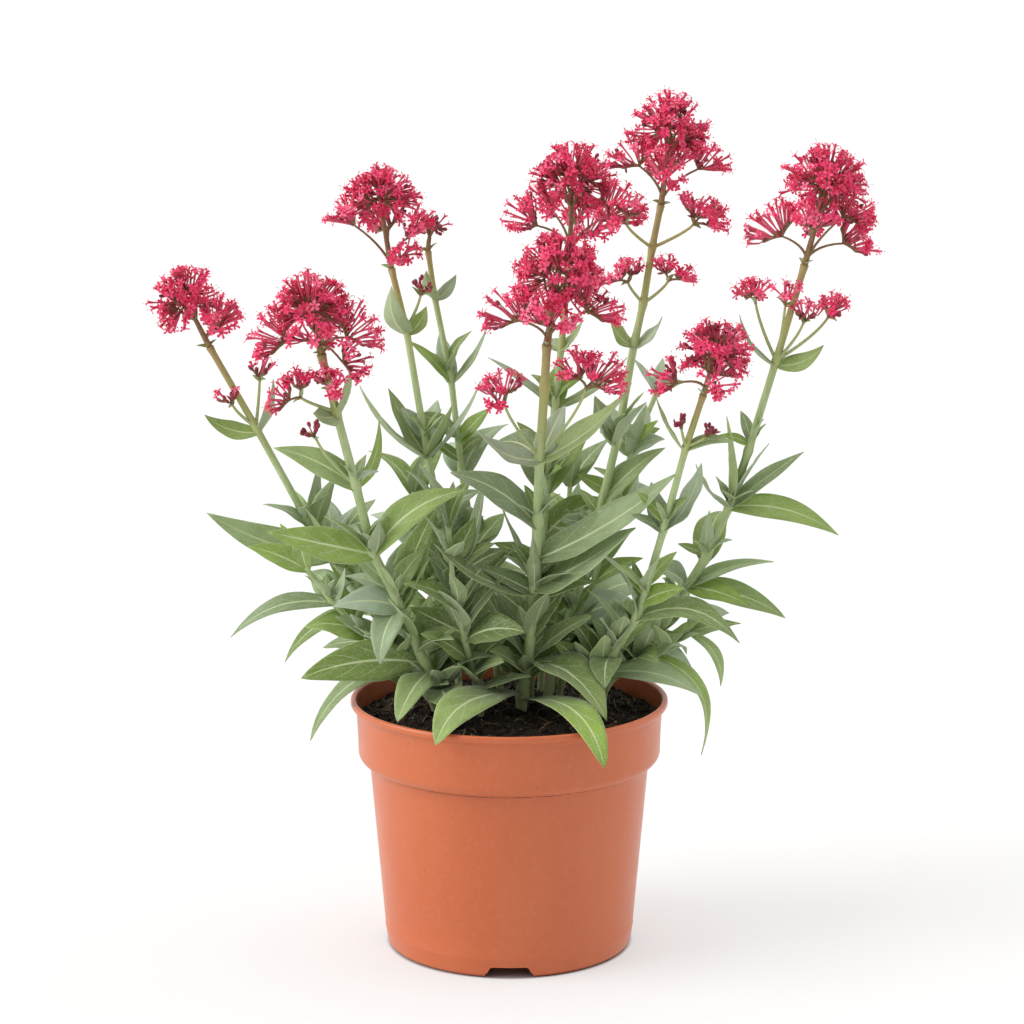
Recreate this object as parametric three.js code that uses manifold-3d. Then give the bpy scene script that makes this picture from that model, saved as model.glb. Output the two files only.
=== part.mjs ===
// A potted red valerian: a terracotta-coloured plastic nursery pot, its soil, leafy stems and crimson flower heads.
// Millimetres, +Z up. The origin is the middle of the pot's underside, and the plant's front faces -Y.
import * as THREE from "three";
import { mergeVertices } from "three/addons/utils/BufferGeometryUtils.js";
import Module from "manifold-3d";

const wasm = await Module();
wasm.setup();

// Driving dimensions
const POT_HEIGHT = 120;
const RIM_RADIUS = 75;
const BASE_RADIUS = 58.5;
const WALL = 1.6;
const BAND_HEIGHT = 27; // the collar below the rim
const BAND_STEP = 9; // how far the rim stands out past the body under the collar
const UNDER_CURVE = 6.5; // height of the curve under the collar
const FLOOR_HEIGHT = 8; // the pot's floor stands above its foot ring
const FOOT_RING = 2.2; // width of the flat ring that the pot stands on
const NOTCH = { count: 4, top: 17, bottom: 25, height: 5.5, depth: 12 }; // cut-outs in the foot ring
const DRAIN = { count: 4, radius: 5, ring: 40, sides: 6 };
const ROUND = 28; // sides of the pot and of the soil's edge
const SOIL_EDGE = 110;
const SOIL_CROWN = 3; // how far the soil rises towards the middle
const SOIL_LUMP = 1.3;
const GAP = 0.3; // between neighbouring pieces
const ROOM = 0.45; // kept round a leaf
const BLADE = 1.3; // a leaf's thickness along its midrib
const LEAF_FOLD = 0.28; // rise of a leaf's edges, as a share of its half-width
const LIGHT_TURN = 52; // degrees that a sideways leaf turns its face towards the light in front
const AXIL = 0.05; // how far below a stem's bend its leaves start, as a share of the stretch between bends
const STEM_SIDES = 5;
const PEDUNCLE = 0.9; // radius of a flower stalk
const FORK = 3; // height of a head's lowest branches above its foot
const TUBE = { radius: 0.9, flare: 2.2, throat: 1.3 }; // a floret's tube, and how deep its face dips
const LIMB = { dome: 5.7, fan: 4.8 }; // radius of a floret's face of five petals, twice life size
const BUD = { radius: 1.7, length: 2 };
const GOLDEN = Math.PI * (3 - Math.sqrt(5));
const TOUCH = 1e-4; // volume of an overlap that counts as none

// Small helpers
const v = (x, y, z) => new THREE.Vector3(x, y, z);
const at = (p) => v(p[0], p[1], p[2]);
const UP = v(0, 0, 1);

function random(seed) {
  return () => {
    seed = (seed + 0x6d2b79f5) | 0;
    let t = Math.imul(seed ^ (seed >>> 15), 1 | seed);
    t = (t + Math.imul(t ^ (t >>> 7), 61 | t)) ^ t;
    return ((t ^ (t >>> 14)) >>> 0) / 4294967296;
  };
}

function geometryOf(points, index) {
  const flat = points.flatMap((p) => [p.x, p.y, p.z]);
  let volume = 0;
  for (let i = 0; i < index.length; i += 3) {
    const [a, b, c] = [points[index[i]], points[index[i + 1]], points[index[i + 2]]];
    volume += a.dot(b.clone().cross(c));
  }
  const outward = volume < 0 ? index.toReversed() : index;
  return new THREE.BufferGeometry()
    .setAttribute("position", new THREE.Float32BufferAttribute(flat, 3))
    .setIndex(outward);
}

function solidOf(geometry) {
  const bare = geometry.clone();
  bare.deleteAttribute("normal");
  bare.deleteAttribute("uv");
  const merged = mergeVertices(bare, 1e-4);
  return new wasm.Manifold(
    new wasm.Mesh({
      numProp: 3,
      vertProperties: merged.attributes.position.array,
      triVerts: new Uint32Array(merged.index.array),
    }),
  );
}

function meshOf(name, solid, material) {
  const { numProp, numVert, vertProperties, triVerts } = solid.getMesh();
  const points = [];
  for (let i = 0; i < numVert; i++) points.push(...vertProperties.subarray(i * numProp, i * numProp + 3));
  const geometry = new THREE.BufferGeometry()
    .setAttribute("position", new THREE.Float32BufferAttribute(points, 3))
    .setIndex(Array.from(triVerts));
  geometry.computeVertexNormals();
  const mesh = new THREE.Mesh(geometry, material);
  mesh.name = name;
  return mesh;
}

// A skin over a row of rings, each a list of points or a single point, with flat ends.
function loft(rings) {
  const points = rings.flat();
  const index = [];
  let start = 0;
  rings.slice(1).forEach((next, k) => {
    const here = rings[k];
    const after = start + here.length;
    let i = 0;
    let j = 0;
    while (i < here.length || j < next.length) {
      const stepHere = j === next.length || (i < here.length && (i + 1) * next.length <= (j + 1) * here.length);
      const a = start + (i % here.length);
      const b = after + (j % next.length);
      if (stepHere) i++;
      else j++;
      const c = stepHere ? start + (i % here.length) : after + (j % next.length);
      if (c !== a && c !== b) index.push(a, b, c);
    }
    start = after;
  });
  for (let i = 1; i + 1 < rings[0].length; i++) index.push(0, i, i + 1);
  for (let i = 1; i + 1 < rings.at(-1).length; i++) index.push(start, start + i + 1, start + i);
  return geometryOf(points, index);
}

function ring(centre, along, radius, sides, spin = 0) {
  const across = (Math.abs(along.z) < 0.9 ? UP : v(1, 0, 0)).clone().cross(along).normalize();
  const other = along.clone().cross(across).normalize();
  return Array.from({ length: sides }, (_, i) => {
    const a = spin + (i * 2 * Math.PI) / sides;
    return centre.clone().addScaledVector(across, radius * Math.cos(a)).addScaledVector(other, radius * Math.sin(a));
  });
}

function tube(points, radii, sides) {
  const rings = points.map((p, i) => {
    const before = points[Math.max(i - 1, 0)];
    const after = points[Math.min(i + 1, points.length - 1)];
    return ring(p, after.clone().sub(before).normalize(), radii[i], sides);
  });
  return solidOf(loft(rings));
}

// Pot and soil
const COLLAR = POT_HEIGHT - BAND_HEIGHT;
const BODY_TOP = COLLAR - UNDER_CURVE;
const sideAt = (z) => BASE_RADIUS + ((RIM_RADIUS - BAND_STEP - BASE_RADIUS) * z) / BODY_TOP;
const BORE = { collar: RIM_RADIUS - 5.2, rim: RIM_RADIUS - 2.6 }; // the pot's inner radius at two heights

function pot() {
  const footIn = BASE_RADIUS - 0.8 - FOOT_RING;
  const inside = [
    [0, FLOOR_HEIGHT], [sideAt(FLOOR_HEIGHT) - WALL, FLOOR_HEIGHT], [sideAt(BODY_TOP) - WALL, BODY_TOP],
    [BORE.collar, COLLAR + 1.5], [BORE.rim, POT_HEIGHT],
  ];
  const outside = [
    [RIM_RADIUS - 0.4, POT_HEIGHT], [RIM_RADIUS, POT_HEIGHT - 3.5], [RIM_RADIUS - 1.6, POT_HEIGHT - 4.5],
    [RIM_RADIUS - 3.4, COLLAR + 2], [RIM_RADIUS - 4.6, COLLAR - 1.5], [sideAt(BODY_TOP), BODY_TOP], [sideAt(2), 2],
  ];
  const under = [
    [footIn + FOOT_RING, 0], [footIn, 0], [footIn, FLOOR_HEIGHT - WALL], [0, FLOOR_HEIGHT - WALL],
  ];
  const profile = [...inside, ...outside, ...under].reverse().map(([x, y]) => new THREE.Vector2(x, y));
  const shell = solidOf(new THREE.LatheGeometry(profile, ROUND).rotateX(Math.PI / 2));
  return shell.subtract(wasm.Manifold.union([...notches(), ...drains()]));
}

function notches() {
  const half = [NOTCH.bottom / 2, NOTCH.top / 2];
  const outline = [[-half[0], -1], [half[0], -1], [half[1], NOTCH.height], [-half[1], NOTCH.height]];
  const shape = new THREE.Shape(outline.map(([x, y]) => new THREE.Vector2(x, y)));
  return Array.from({ length: NOTCH.count }, (_, i) =>
    solidOf(
      new THREE.ExtrudeGeometry(shape, { depth: NOTCH.depth, bevelEnabled: false })
        .rotateX(Math.PI / 2)
        .translate(0, (2 / 3) * NOTCH.depth - BASE_RADIUS, 0)
        .rotateZ((i * 2 * Math.PI) / NOTCH.count),
    ),
  );
}

function drains() {
  return Array.from({ length: DRAIN.count }, (_, i) => {
    const a = ((i + 0.5) * 2 * Math.PI) / DRAIN.count;
    const hole = new THREE.CylinderGeometry(DRAIN.radius, DRAIN.radius, 3 * WALL, DRAIN.sides).rotateX(Math.PI / 2);
    return solidOf(hole.translate(DRAIN.ring * Math.cos(a), DRAIN.ring * Math.sin(a), FLOOR_HEIGHT));
  });
}

const soilHeight = (x, y) => {
  const r = Math.hypot(x, y) / RIM_RADIUS;
  return SOIL_EDGE + SOIL_CROWN * (1 - r * r) + SOIL_LUMP * Math.sin(x * 0.31 + 1) * Math.cos(y * 0.27 + x * 0.09);
};

// The soil fills the pot and is holed for each stem's foot.
function soil(holes) {
  const circle = (r, height, sides = ROUND) =>
    Array.from({ length: sides }, (_, i) => {
      const a = (i * 2 * Math.PI) / sides;
      const [x, y] = [r * Math.cos(a), r * Math.sin(a)];
      return v(x, y, height ?? soilHeight(x, y));
    });
  const rings = [
    circle(sideAt(FLOOR_HEIGHT) - WALL - GAP, FLOOR_HEIGHT + GAP),
    circle(sideAt(BODY_TOP) - WALL - GAP, BODY_TOP),
    circle(BORE.collar - GAP, COLLAR + 1.5 + GAP),
    circle(BORE.collar + 1.2),
    circle(0.6 * RIM_RADIUS, undefined, ROUND / 2),
    [v(0, 0, soilHeight(0, 0))],
  ];
  return solidOf(loft(rings)).subtract(wasm.Manifold.union(holes));
}

// A leaf runs from inside its stem to its tip. `arch` is the height of its bend, which lies at `peak` of its length.
// `roll` turns its face about the midrib, `extra` fattens it to test the room round it.
const BROAD = [0.2, 0.45, 0.72]; // where a leaf's cross-sections stand
const NARROW = [0.3, 0.65];
const NARROW_LEAF = 15.5; // a leaf of less width has fewer of them, and no groove along its midrib
const leafShape = (s) => Math.sin(Math.PI * (0.05 + 0.95 * s) ** 0.75);

function leaf(root, tip, width, arch, roll, peak, extra = 0) {
  const chord = tip.clone().sub(root);
  const along = chord.clone().normalize();
  const face = UP.clone().addScaledVector(along, -along.z).normalize();
  const bend = root.clone().addScaledVector(chord, peak).addScaledVector(face, 2 * arch);
  face.applyAxisAngle(along, THREE.MathUtils.degToRad(roll + LIGHT_TURN * along.x));
  const across = along.clone().cross(face).normalize();
  const midrib = new THREE.QuadraticBezierCurve3(root, bend, tip);
  const rings = [[root]];
  const broad = width > NARROW_LEAF;
  for (const s of broad ? BROAD : NARROW) {
    const half = (width / 2) * leafShape(s) + extra;
    const rib = midrib.getPoint(s);
    const tangent = midrib.getTangent(s);
    const normal = across.clone().cross(tangent).normalize();
    const edge = rib.clone().addScaledVector(normal, LEAF_FOLD * half);
    const groove = broad ? [rib.clone().addScaledVector(normal, BLADE / 2 + extra)] : [];
    rings.push([
      edge.clone().addScaledVector(across, half), ...groove,
      edge.clone().addScaledVector(across, -half), rib.clone().addScaledVector(normal, -BLADE / 2 - extra),
    ]);
  }
  rings.push([tip.clone().addScaledVector(along, extra)]);
  return solidOf(loft(rings));
}

// A floret: a thin tube that opens in a face of five petals. A bud ends in a small club.
function floret(root, direction, length, spin, limb) {
  const face = root.clone().addScaledVector(direction, length);
  const neck = ring(face.clone().addScaledVector(direction, -TUBE.flare), direction, TUBE.radius, 3, spin);
  const heart = face.clone().addScaledVector(direction, -TUBE.throat);
  return solidOf(loft([[root], neck, ring(face, direction, limb, 5, spin), [heart]]));
}

function bud(root, direction, length, spin) {
  const belly = root.clone().addScaledVector(direction, length - BUD.length);
  const tip = root.clone().addScaledVector(direction, length);
  return solidOf(loft([[root], ring(belly, direction, BUD.radius, 3, spin), [tip]]));
}

const ball = (centre, radius) => solidOf(new THREE.IcosahedronGeometry(radius, 0).translate(...centre));

// A flower stalk that swells to the knot from which its florets spread.
function knob(foot, centre, radius, sides) {
  const along = centre.clone().sub(foot).normalize();
  const below = centre.clone().addScaledVector(along, -radius);
  const above = centre.clone().addScaledVector(along, radius);
  const stalk = [foot, below].map((p) => ring(p, along, PEDUNCLE, sides));
  return solidOf(loft([...stalk, ring(centre, along, radius, 4), [above]]));
}

// The plant. A stem is its nodes from the foot up. A leaf is [place on the stem, tip dx, dy, dz, width, arch, roll],
// a cluster [place on the stem, centre dx, dy, dz, radius, share of buds], a fan of the head [dx, dy, dz, radius].
const STEMS = [
  {
    name: "far_left", radius: [2.4, 1.5],
    nodes: [
      [-24, 10, 98], [-34, 10, 122], [-66, 11, 160], [-85, 11, 186], [-93, 11, 198], [-119, 12, 247],
      [-140, 12, 285],
    ],
    leaves: [
      [5, -25, -4, 9, 8, -4, 0], [5, 7, 2, 25, 8, -3, -60], [4, -23, -6, 14, 7, 3, 0],
      [4, 3, 8, 31, 8, 0, 60], [4, 11, -4, 27, 8, 0, -60], [3, -58, -8, 23, 15, -4, -15],
      [3, 20, 20, 24, 12.5, 3, 0], [2, -43, 6, -26, 8, 8, 0], [2, -16, 34, 12, 15, 4, 0],
      [1.3, -48, 22, 4, 16, 7, 0], [3, -6, 26, 26, 11.5, 2, 0],
    ],
    head: { dome: [-10, -2, 21, 16.5], fans: [[5, -6, 11, 11], [3, 9, 11, 10]] },
    clusters: [[5, -12, -5, 14, 6, 0.5], [5, 2, 4, 25, 6.5, 0.5]],
  },
  {
    name: "left", radius: [2.7, 1.8],
    nodes: [
      [-26, -4, 98], [-29, -9, 121], [-40, -14, 140], [-51, -20, 169], [-63, -26, 195], [-70, -34, 228],
      [-78, -42, 263], [-84, -48, 290],
    ],
    leaves: [
      [6, 6, 3, 22, 10.5, -3, -50], [6, -10, -12, 3, 10.5, -2, 0], [5, -38, 4, 18, 11.5, 4, 0],
      [5, 10, 10, 30, 6, -3, 60], [4, -48, -12, 13, 15, 2, -10], [4, 44, -8, 32, 15, 7, 12],
      [4, -22, -10, 20, 7, 2, 0], [4, 3, -9, 18, 8, -2, 0], [3, -26, 8, 13, 10.5, 3, 0],
      [3, -31, -8, 2, 13.5, 4, 0], [3, 17, 6, 46, 13.5, 2, 40], [3, 14, -6, 25, 7, 0, 20],
      [3, -9, -14, -24, 12.5, 6, 0], [2, -57, -16, -3, 18, 6, -25], [2, -54, -2, -37, 9, 13, 0],
      [1.8, -14, -36, -15, 13.5, 3, 0], [1.3, 5, -36, -1, 17, 3, 0],
    ],
    head: {
      dome: [-4, 0, 19, 17.5],
      fans: [
        [-18, -3, 8, 12], [14, -3, 10, 12], [12, -9, -2, 9], [-3, -13, 9, 10], [0, 14, 9, 12],
      ],
    },
    clusters: [[6, -19, -6, 10, 9.5, 0.2], [6, -2, -15, 15, 8.5, 0.2], [5, -19, -5, 25, 6.5, 1]],
  },
  {
    name: "left_back", radius: [2.3, 1.5],
    nodes: [
      [-12, 8, 98], [-15, 12, 123], [-21, 17, 153], [-31, 23, 190], [-39, 30, 231], [-49, 39, 290],
      [-56, 44, 318],
    ],
    leaves: [
      [4, -32, -6, 36, 13.5, -5, 25], [4, -19, 5, 33, 10.5, -2, 0], [4, 25, -4, 38, 12.5, -3, -30],
      [4, 12, -10, 28, 8, -1, -20], [5, -7, -6, 24, 11.5, -4, 40], [5, 9, 5, 13, 8, -2, 0],
      [3.4, -15, -3, 20, 7, 2, 0], [3.4, 16, 4, 9, 8, 3, 0], [3, -17, 30, 20, 15, 4, 0],
      [2.5, -6, 44, 8, 17, 6, 0], [4, 4, 26, 24, 11.5, 2, 0],
    ],
    head: {
      dome: [-5, 0, 32.5, 17.5],
      fans: [
        [-19, -3, 23, 11], [10, -5, 18, 11], [5, -8, 7, 8], [-2, 13, 20, 12],
      ],
    },
    clusters: [[5, 8, -7, 20, 7, 1]],
  },
  {
    name: "centre_left_back", radius: [2, 1.3],
    nodes: [
      [-3, 18, 98], [-5, 23, 123], [-13, 31, 161], [-23, 43, 221], [-28, 52, 264], [-36, 60, 303],
      [-39, 64, 324],
    ],
    leaves: [
      [4, -21, -2, 21, 7, 2, 0], [4, 17, -2, 27, 7, -2, 0], [4, -6, 18, 22, 8, 2, 0],
      [3, 22, 20, 22, 11.5, 4, 0], [3, -6, 26, 12, 12.5, 4, 0], [5, -4, -7, 15, 8, -3, 0],
      [5, 10, 4, 12, 7, -2, 0], [2, -30, 34, 8, 16, 6, 0], [2, 24, 36, 4, 16, 7, 0],
    ],
    head: { dome: [1, 0, 10, 10], fans: [], buds: 0.8 },
    clusters: [],
  },
  {
    name: "centre_back", radius: [2.3, 1.5],
    nodes: [
      [9, 18, 98], [10, 22, 123], [14, 28, 159], [18, 38, 214], [22, 44, 253], [25, 49, 280],
      [29, 56, 323],
    ],
    leaves: [
      [4, -32, -4, 25, 6, 2, 0], [4, 35, 4, 24, 6, -3, 0], [5, 10, -5, 15, 12.5, -2, 0],
      [5, -9, 5, 2, 7, 1, 0], [3, -16, 24, 24, 12.5, 4, 0], [3, 22, 16, 28, 12.5, 3, 0],
      [2, 4, 50, -4, 17, 8, 0], [2.6, 34, 22, 14, 13.5, 4, 0], [4, 4, 20, 20, 10.5, 2, 0],
    ],
    head: {
      dome: [1, 0, 34, 20],
      fans: [
        [-18, -4, 17, 12], [21, -3, 22, 13], [10, -12, 13, 11], [-9, -13, 24, 11], [4, 13, 17, 12],
      ],
    },
    clusters: [],
  },
  {
    name: "centre", radius: [2.9, 1.9],
    nodes: [
      [5, 5, 98], [6, 0, 121], [9, -4, 138], [12, -12, 174], [13, -20, 208], [14, -28, 240],
      [16, -36, 273], [17, -40, 293],
    ],
    leaves: [
      [5, -28, -11, 15, 13.5, -4, 15], [5, 40, -8, 33, 16, -4, -5], [5, -22, 16, 4, 13.5, 4, 0],
      [5, 12, 20, 22, 10.5, 2, 0], [4, -40, -7, 26, 15, 4, 0], [3.5, 64, -18, 44, 17, -3, 0],
      [3.1, 46, -20, 32, 22, 0, 8], [3, -46, -22, 28, 12.5, -4, 25], [3, 27, -12, 8, 13.5, 2, 0],
      [3, 2, -8, 25, 6, -4, 0], [3, 12, -4, 24, 5, 0, 0], [3, -17, 7, 44, 12.5, 0, 35],
      [3, -27, -6, 14, 10.5, 2, 0], [2, 36, -39, -18, 23, 9, -22], [2, -20, -7, 4, 7, 3, 0],
      [2, 31, -9, 25, 11.5, 2, -15], [2, -26, 8, 42, 20.5, 0, 35], [1.05, -39, -77, -4, 19, 10, 10, 0.75],
      [0.9, 37, -79, -11, 16, 16, -20, 0.8], [1.4, -8, -22, 8, 6, 3, 0],
    ],
    head: {
      dome: [5, 0, 29.5, 22],
      fans: [
        [-15, -6, 14, 12], [1, -16, 12, 11], [20, -6, 18, 12], [2, 16, 14, 12],
      ],
    },
    clusters: [[5, -18, -15, 31, 10.5, 0.15], [5, 23, -15, 39, 13, 0.15]],
  },
  {
    name: "right_centre", radius: [2.4, 1.5],
    nodes: [
      [16, 8, 98], [19, 10, 122], [27, 12, 150], [38, 14, 185], [51, 18, 240], [59, 22, 286],
      [63, 23, 304], [67, 25, 330], [71, 26, 350],
    ],
    leaves: [
      [5, -11, -3, 14, 10.5, -2, 0], [5, 13, -5, 15, 10.5, -3, 0], [4, -10, 5, 23, 16, -1, 30],
      [4, 14, -8, 22, 12.5, 1, -20], [4, -6, 24, 16, 11.5, 2, 0], [3, 14, 30, 22, 15, 4, 0],
      [3.5, 30, 4, 26, 11.5, 3, 0], [3, -18, -10, 18, 11.5, 2, 0], [2, 20, 44, -4, 17, 7, 0],
    ],
    head: {
      dome: [4, 0, 33.5, 18.5],
      fans: [
        [-12, -4, 21, 11], [19, -3, 19, 11], [1, -13, 15, 11], [3, 13, 16, 12],
      ],
    },
    clusters: [
      [7, 23, -3, 15, 11, 0.1], [7, -15, -14, 16, 9.5, 0.1], [6, -9, -5, 14, 8, 0.1],
      [6, 13.5, -5, 14.5, 8, 0.1],
    ],
  },
  {
    name: "right", radius: [2.3, 1.4],
    nodes: [
      [34, 6, 98], [37, 0, 122], [48, -9, 142], [60, -18, 163], [71, -30, 207], [80, -42, 247],
      [87, -50, 272],
    ],
    leaves: [
      [5, 21, -7, 5, 6, 3, 0], [5, -13, 3, 24, 8, -2, 40], [4, 18, 8, 31, 15, -4, -35],
      [4, -5, 9, 22, 11.5, -2, 30], [4, -15, -8, 10, 6, 1, 0], [3, 47, -13, -9, 13, 9, -15],
      [3, -19, 6, 30, 15, 5, 35], [3, 17, 8, 12, 11.5, 2, 0], [2, -3, -24, -9, 13.5, 3, 0],
      [1.5, 48, -16, -6, 13, 5, -10], [2, 4, 20, 26, 11.5, 2, 0],
    ],
    head: { dome: [5, 0, 18, 16.5], fans: [[-14, -2, 7, 9], [4, -12, 8, 9], [6, 12, 9, 10]], buds: 0.3 },
    clusters: [[5, -3, -8, 12, 4.5, 1], [5, 10, -6, 7, 5, 1]],
  },
  {
    name: "far_right", radius: [2.7, 1.6],
    nodes: [
      [30, 16, 98], [38, 14, 120], [60, 13, 139], [74, 12, 153], [93, 9, 185], [104, 7, 211],
      [112, 5, 237], [124, 2, 280], [136, -2, 325],
    ],
    leaves: [
      [7, -17, -5, 24, 8, -4, 20], [7, 22, -5, 10, 8, -4, 0], [5, 51, -8, -12, 11, 5, 0],
      [5, -16, -3, 21, 15, -3, 30], [5, -2, -4, 44, 10.5, 1, -50], [5, 18, -4, 31, 10.5, 1, -40],
      [5, 35, 2, 26, 10.5, 1, -20], [4, 2, -4, 25, 7, 0, -50], [3.6, 40, -9, 14, 9, 2, -15],
      [3.6, 47, 3, -16, 11, 6, 0], [3.6, 28, -14, -6, 10.5, 2, 0], [3.6, -17, -7, 10, 15, 2, 0],
      [4, 10, 30, 18, 13.5, 4, 0], [2, 33, -6, -49, 10, 17, 0], [2, 30, 12, -14, 10.5, 5, 0],
      [3, 14, 34, 4, 16, 6, 0], [2, -6, 40, 4, 16, 6, 0],
    ],
    head: {
      dome: [9, 0, 35, 19.5],
      fans: [
        [-13, -3, 16, 12], [20, -2, 12, 12], [18, -8, 25, 11], [3, -12, 20, 10], [5, 14, 17, 12],
      ],
    },
    clusters: [
      [7, -11, 0, 31, 8.5, 0.1], [7, 3, -12, 31, 7.5, 0.1], [7, 13, -8, 22, 7.5, 0.1],
      [7, 26, -3, 24, 8.5, 0.1],
    ],
  },
  {
    name: "shoot_left", radius: [1.8, 1.2],
    nodes: [
      [-32, -2, 98], [-36, -3, 119], [-51, -8, 136], [-69, -10, 153], [-83, -10, 168], [-95, -10, 184],
    ],
    leaves: [
      [4, -48, -2, -16, 9, 6, 0], [4, 6, -6, 18, 6, -2, 60], [5, -27, -4, 12, 10.5, 1, 0],
      [5, -4, 2, 20, 8, 0, -50], [5, -13, 10, 20, 7, 0, 0], [3, -27, -6, 5, 13.5, 4, 0],
      [3, 10, -14, -8, 7, 3, 0], [4, -12, 24, 10, 11.5, 3, 0],
    ],
  },
  {
    name: "shoot_middle", radius: [1.8, 1.2],
    nodes: [[-12, -8, 98], [-14, -12, 123], [-21, -17, 152], [-26, -22, 183], [-28, -26, 207]],
    leaves: [
      [2, -12, -8, 26, 13.5, 2, 30], [2, 14, 4, 30, 12.5, 2, -30], [3, 19, 4, 40, 13.5, -4, -30],
      [3, -14, 2, 30, 12.5, 2, 30], [4, -12, -6, 22, 8, 2, 0], [4, 12, 4, 24, 8, 2, 0],
      [2, 28, -16, 8, 15, 5, 0], [4, 2, 12, 20, 7, 0, 0],
    ],
  },
  {
    name: "shoot_right_back", radius: [1.8, 1.2],
    nodes: [[22, 20, 98], [25, 24, 121], [38, 31, 159], [50, 38, 201], [59, 43, 230], [71, 48, 258]],
    leaves: [
      [4, 7, -3, 25, 13.5, -2, -30], [4, 16, -4, 8, 10.5, 3, 0], [4, -15, 6, 10, 10.5, 3, 0],
      [5, -11, -2, 18, 7, 1, 0], [5, 15, 2, 6, 6, 2, 0], [3, 22, 26, 8, 13.5, 5, 0],
      [2, 34, 34, 0, 16, 7, 0], [3, -8, 27, 14, 12.5, 4, 0], [5, 4, 14, 16, 7, 1, 0],
    ],
  },
  {
    name: "shoot_right_low", radius: [1.6, 1.1],
    nodes: [[42, 6, 98], [46, 5, 124], [58, 4, 134], [70, 4, 140], [86, 4, 150]],
    leaves: [
      [4, 15, -3, -25, 7, 6, 0], [4, 24, -6, 6, 8, 2, 0], [4, 20, 16, 6, 10.5, 4, 0],
      [3, 10, 26, -6, 11.5, 6, 0], [2, 12, -26, 2, 10.5, 4, 0],
    ],
  },
  {
    name: "shoot_back", radius: [1.8, 1.2],
    nodes: [[-22, 26, 98], [-25, 34, 122], [-34, 45, 149], [-43, 56, 180], [-47, 64, 206]],
    leaves: [
      [2, -40, 8, 0, 16, 7, 0], [2, 12, 37, -8, 17, 8, 0], [3, -26, 20, 14, 15, 5, 0],
      [3, 30, 16, 14, 15, 5, 0], [4, -22, 0, 22, 11.5, 3, 0], [4, 14, 16, 20, 11.5, 3, 0],
      [4, 6, -12, 24, 8, 2, 0], [1.2, -30, 34, 4, 17, 8, 0],
    ],
  },
  {
    name: "shoot_back_right", radius: [1.8, 1.2],
    nodes: [[14, 34, 98], [16, 42, 122], [22, 52, 149], [28, 62, 182], [30, 70, 210]],
    leaves: [
      [2, -28, 30, -6, 17, 8, 0], [3, 28, 18, 14, 15, 5, 0], [3, -28, 14, 16, 15, 5, 0],
      [4, 20, 8, 22, 11.5, 3, 0], [4, -14, 12, 22, 11.5, 3, 0], [4, 4, -14, 24, 8, 2, 0],
      [1.2, 34, 30, 8, 17, 8, 0], [1.6, 8, 35, 8, 17, 8, 0],
    ],
  },
];

// Every piece that stands already, with its node's name, so that a new one can be set clear of the others.
const placed = [];
const boxOf = (solid) => {
  const { min, max } = solid.boundingBox();
  return new THREE.Box3(at(min), at(max));
};
const place = (node, solid, key) => placed.push({ node, key, solid, box: boxOf(solid) });
const isClear = (node, solid, key) => {
  const box = boxOf(solid);
  return placed.every((p) => {
    const kin = p.node === node && (p.key === "stem" || p.key === key);
    return kin || !p.box.intersectsBox(box) || p.solid.intersect(solid).volume() < TOUCH;
  });
};

const pointOn = (stem, place) => {
  const k = Math.min(Math.floor(place), stem.nodes.length - 2);
  return at(stem.nodes[k]).lerp(at(stem.nodes[k + 1]), place - k);
};

// The first of these turns (degrees about the stem) and lifts (mm) that clears every neighbour is the leaf's place.
const SHIFTS = [
  [0, 0], [7, 0], [-7, 0], [0, 6], [14, 0], [-14, 0], [0, 12], [10, 8], [-10, 8], [22, 4], [-22, 4], [0, -6],
  [32, 8], [-32, 8], [45, 4], [-45, 4], [60, 8], [-60, 8],
];

function leafOf(stem, [where, dx, dy, dz, width, arch, roll, peak = 0.5]) {
  const root = pointOn(stem, where - AXIL);
  for (const [turn, lift] of SHIFTS) {
    const reach = v(dx, dy, dz + lift).applyAxisAngle(UP, THREE.MathUtils.degToRad(turn));
    const tip = root.clone().add(reach);
    if (isClear(stem.name, leaf(root, tip, width, arch, roll, peak, ROOM), where)) {
      return leaf(root, tip, width, arch, roll, peak);
    }
  }
  return null;
}

function stemOf(stem) {
  const count = stem.nodes.length - 1;
  const radii = stem.nodes.map((_, i) => THREE.MathUtils.lerp(stem.radius[0], stem.radius[1], i / count));
  return tube(stem.nodes.map(at), radii, STEM_SIDES);
}

const knotRadius = (radius) => 0.4 * radius;

// Where a cluster's stalk runs: from the stem, through a bend, to just under the cluster's own short foot.
function stalkRoute(stem, [where, dx, dy, dz, radius]) {
  const root = pointOn(stem, where);
  const centre = root.clone().add(v(dx, dy, dz));
  const bend = root.clone().add(v(dx * 0.62, dy * 0.62, dz * 0.44));
  const along = centre.clone().sub(bend).normalize();
  const end = centre.clone().addScaledVector(along, -knotRadius(radius) - 1);
  return { root, bend, end, along, centre };
}

function stalkOf(stem, cluster) {
  const { root, bend, end } = stalkRoute(stem, cluster);
  return tube([root, bend, end], [1.2 * PEDUNCLE, PEDUNCLE, PEDUNCLE], 4);
}

// How far round a ball of florets reaches from its axis, in radians, and the size of their faces.
const DOME = { reach: 2, limb: LIMB.dome };
const FAN = { reach: 1.4, limb: LIMB.fan, count: 4 };
const CLUSTER = { reach: 1.45, limb: LIMB.fan };

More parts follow.
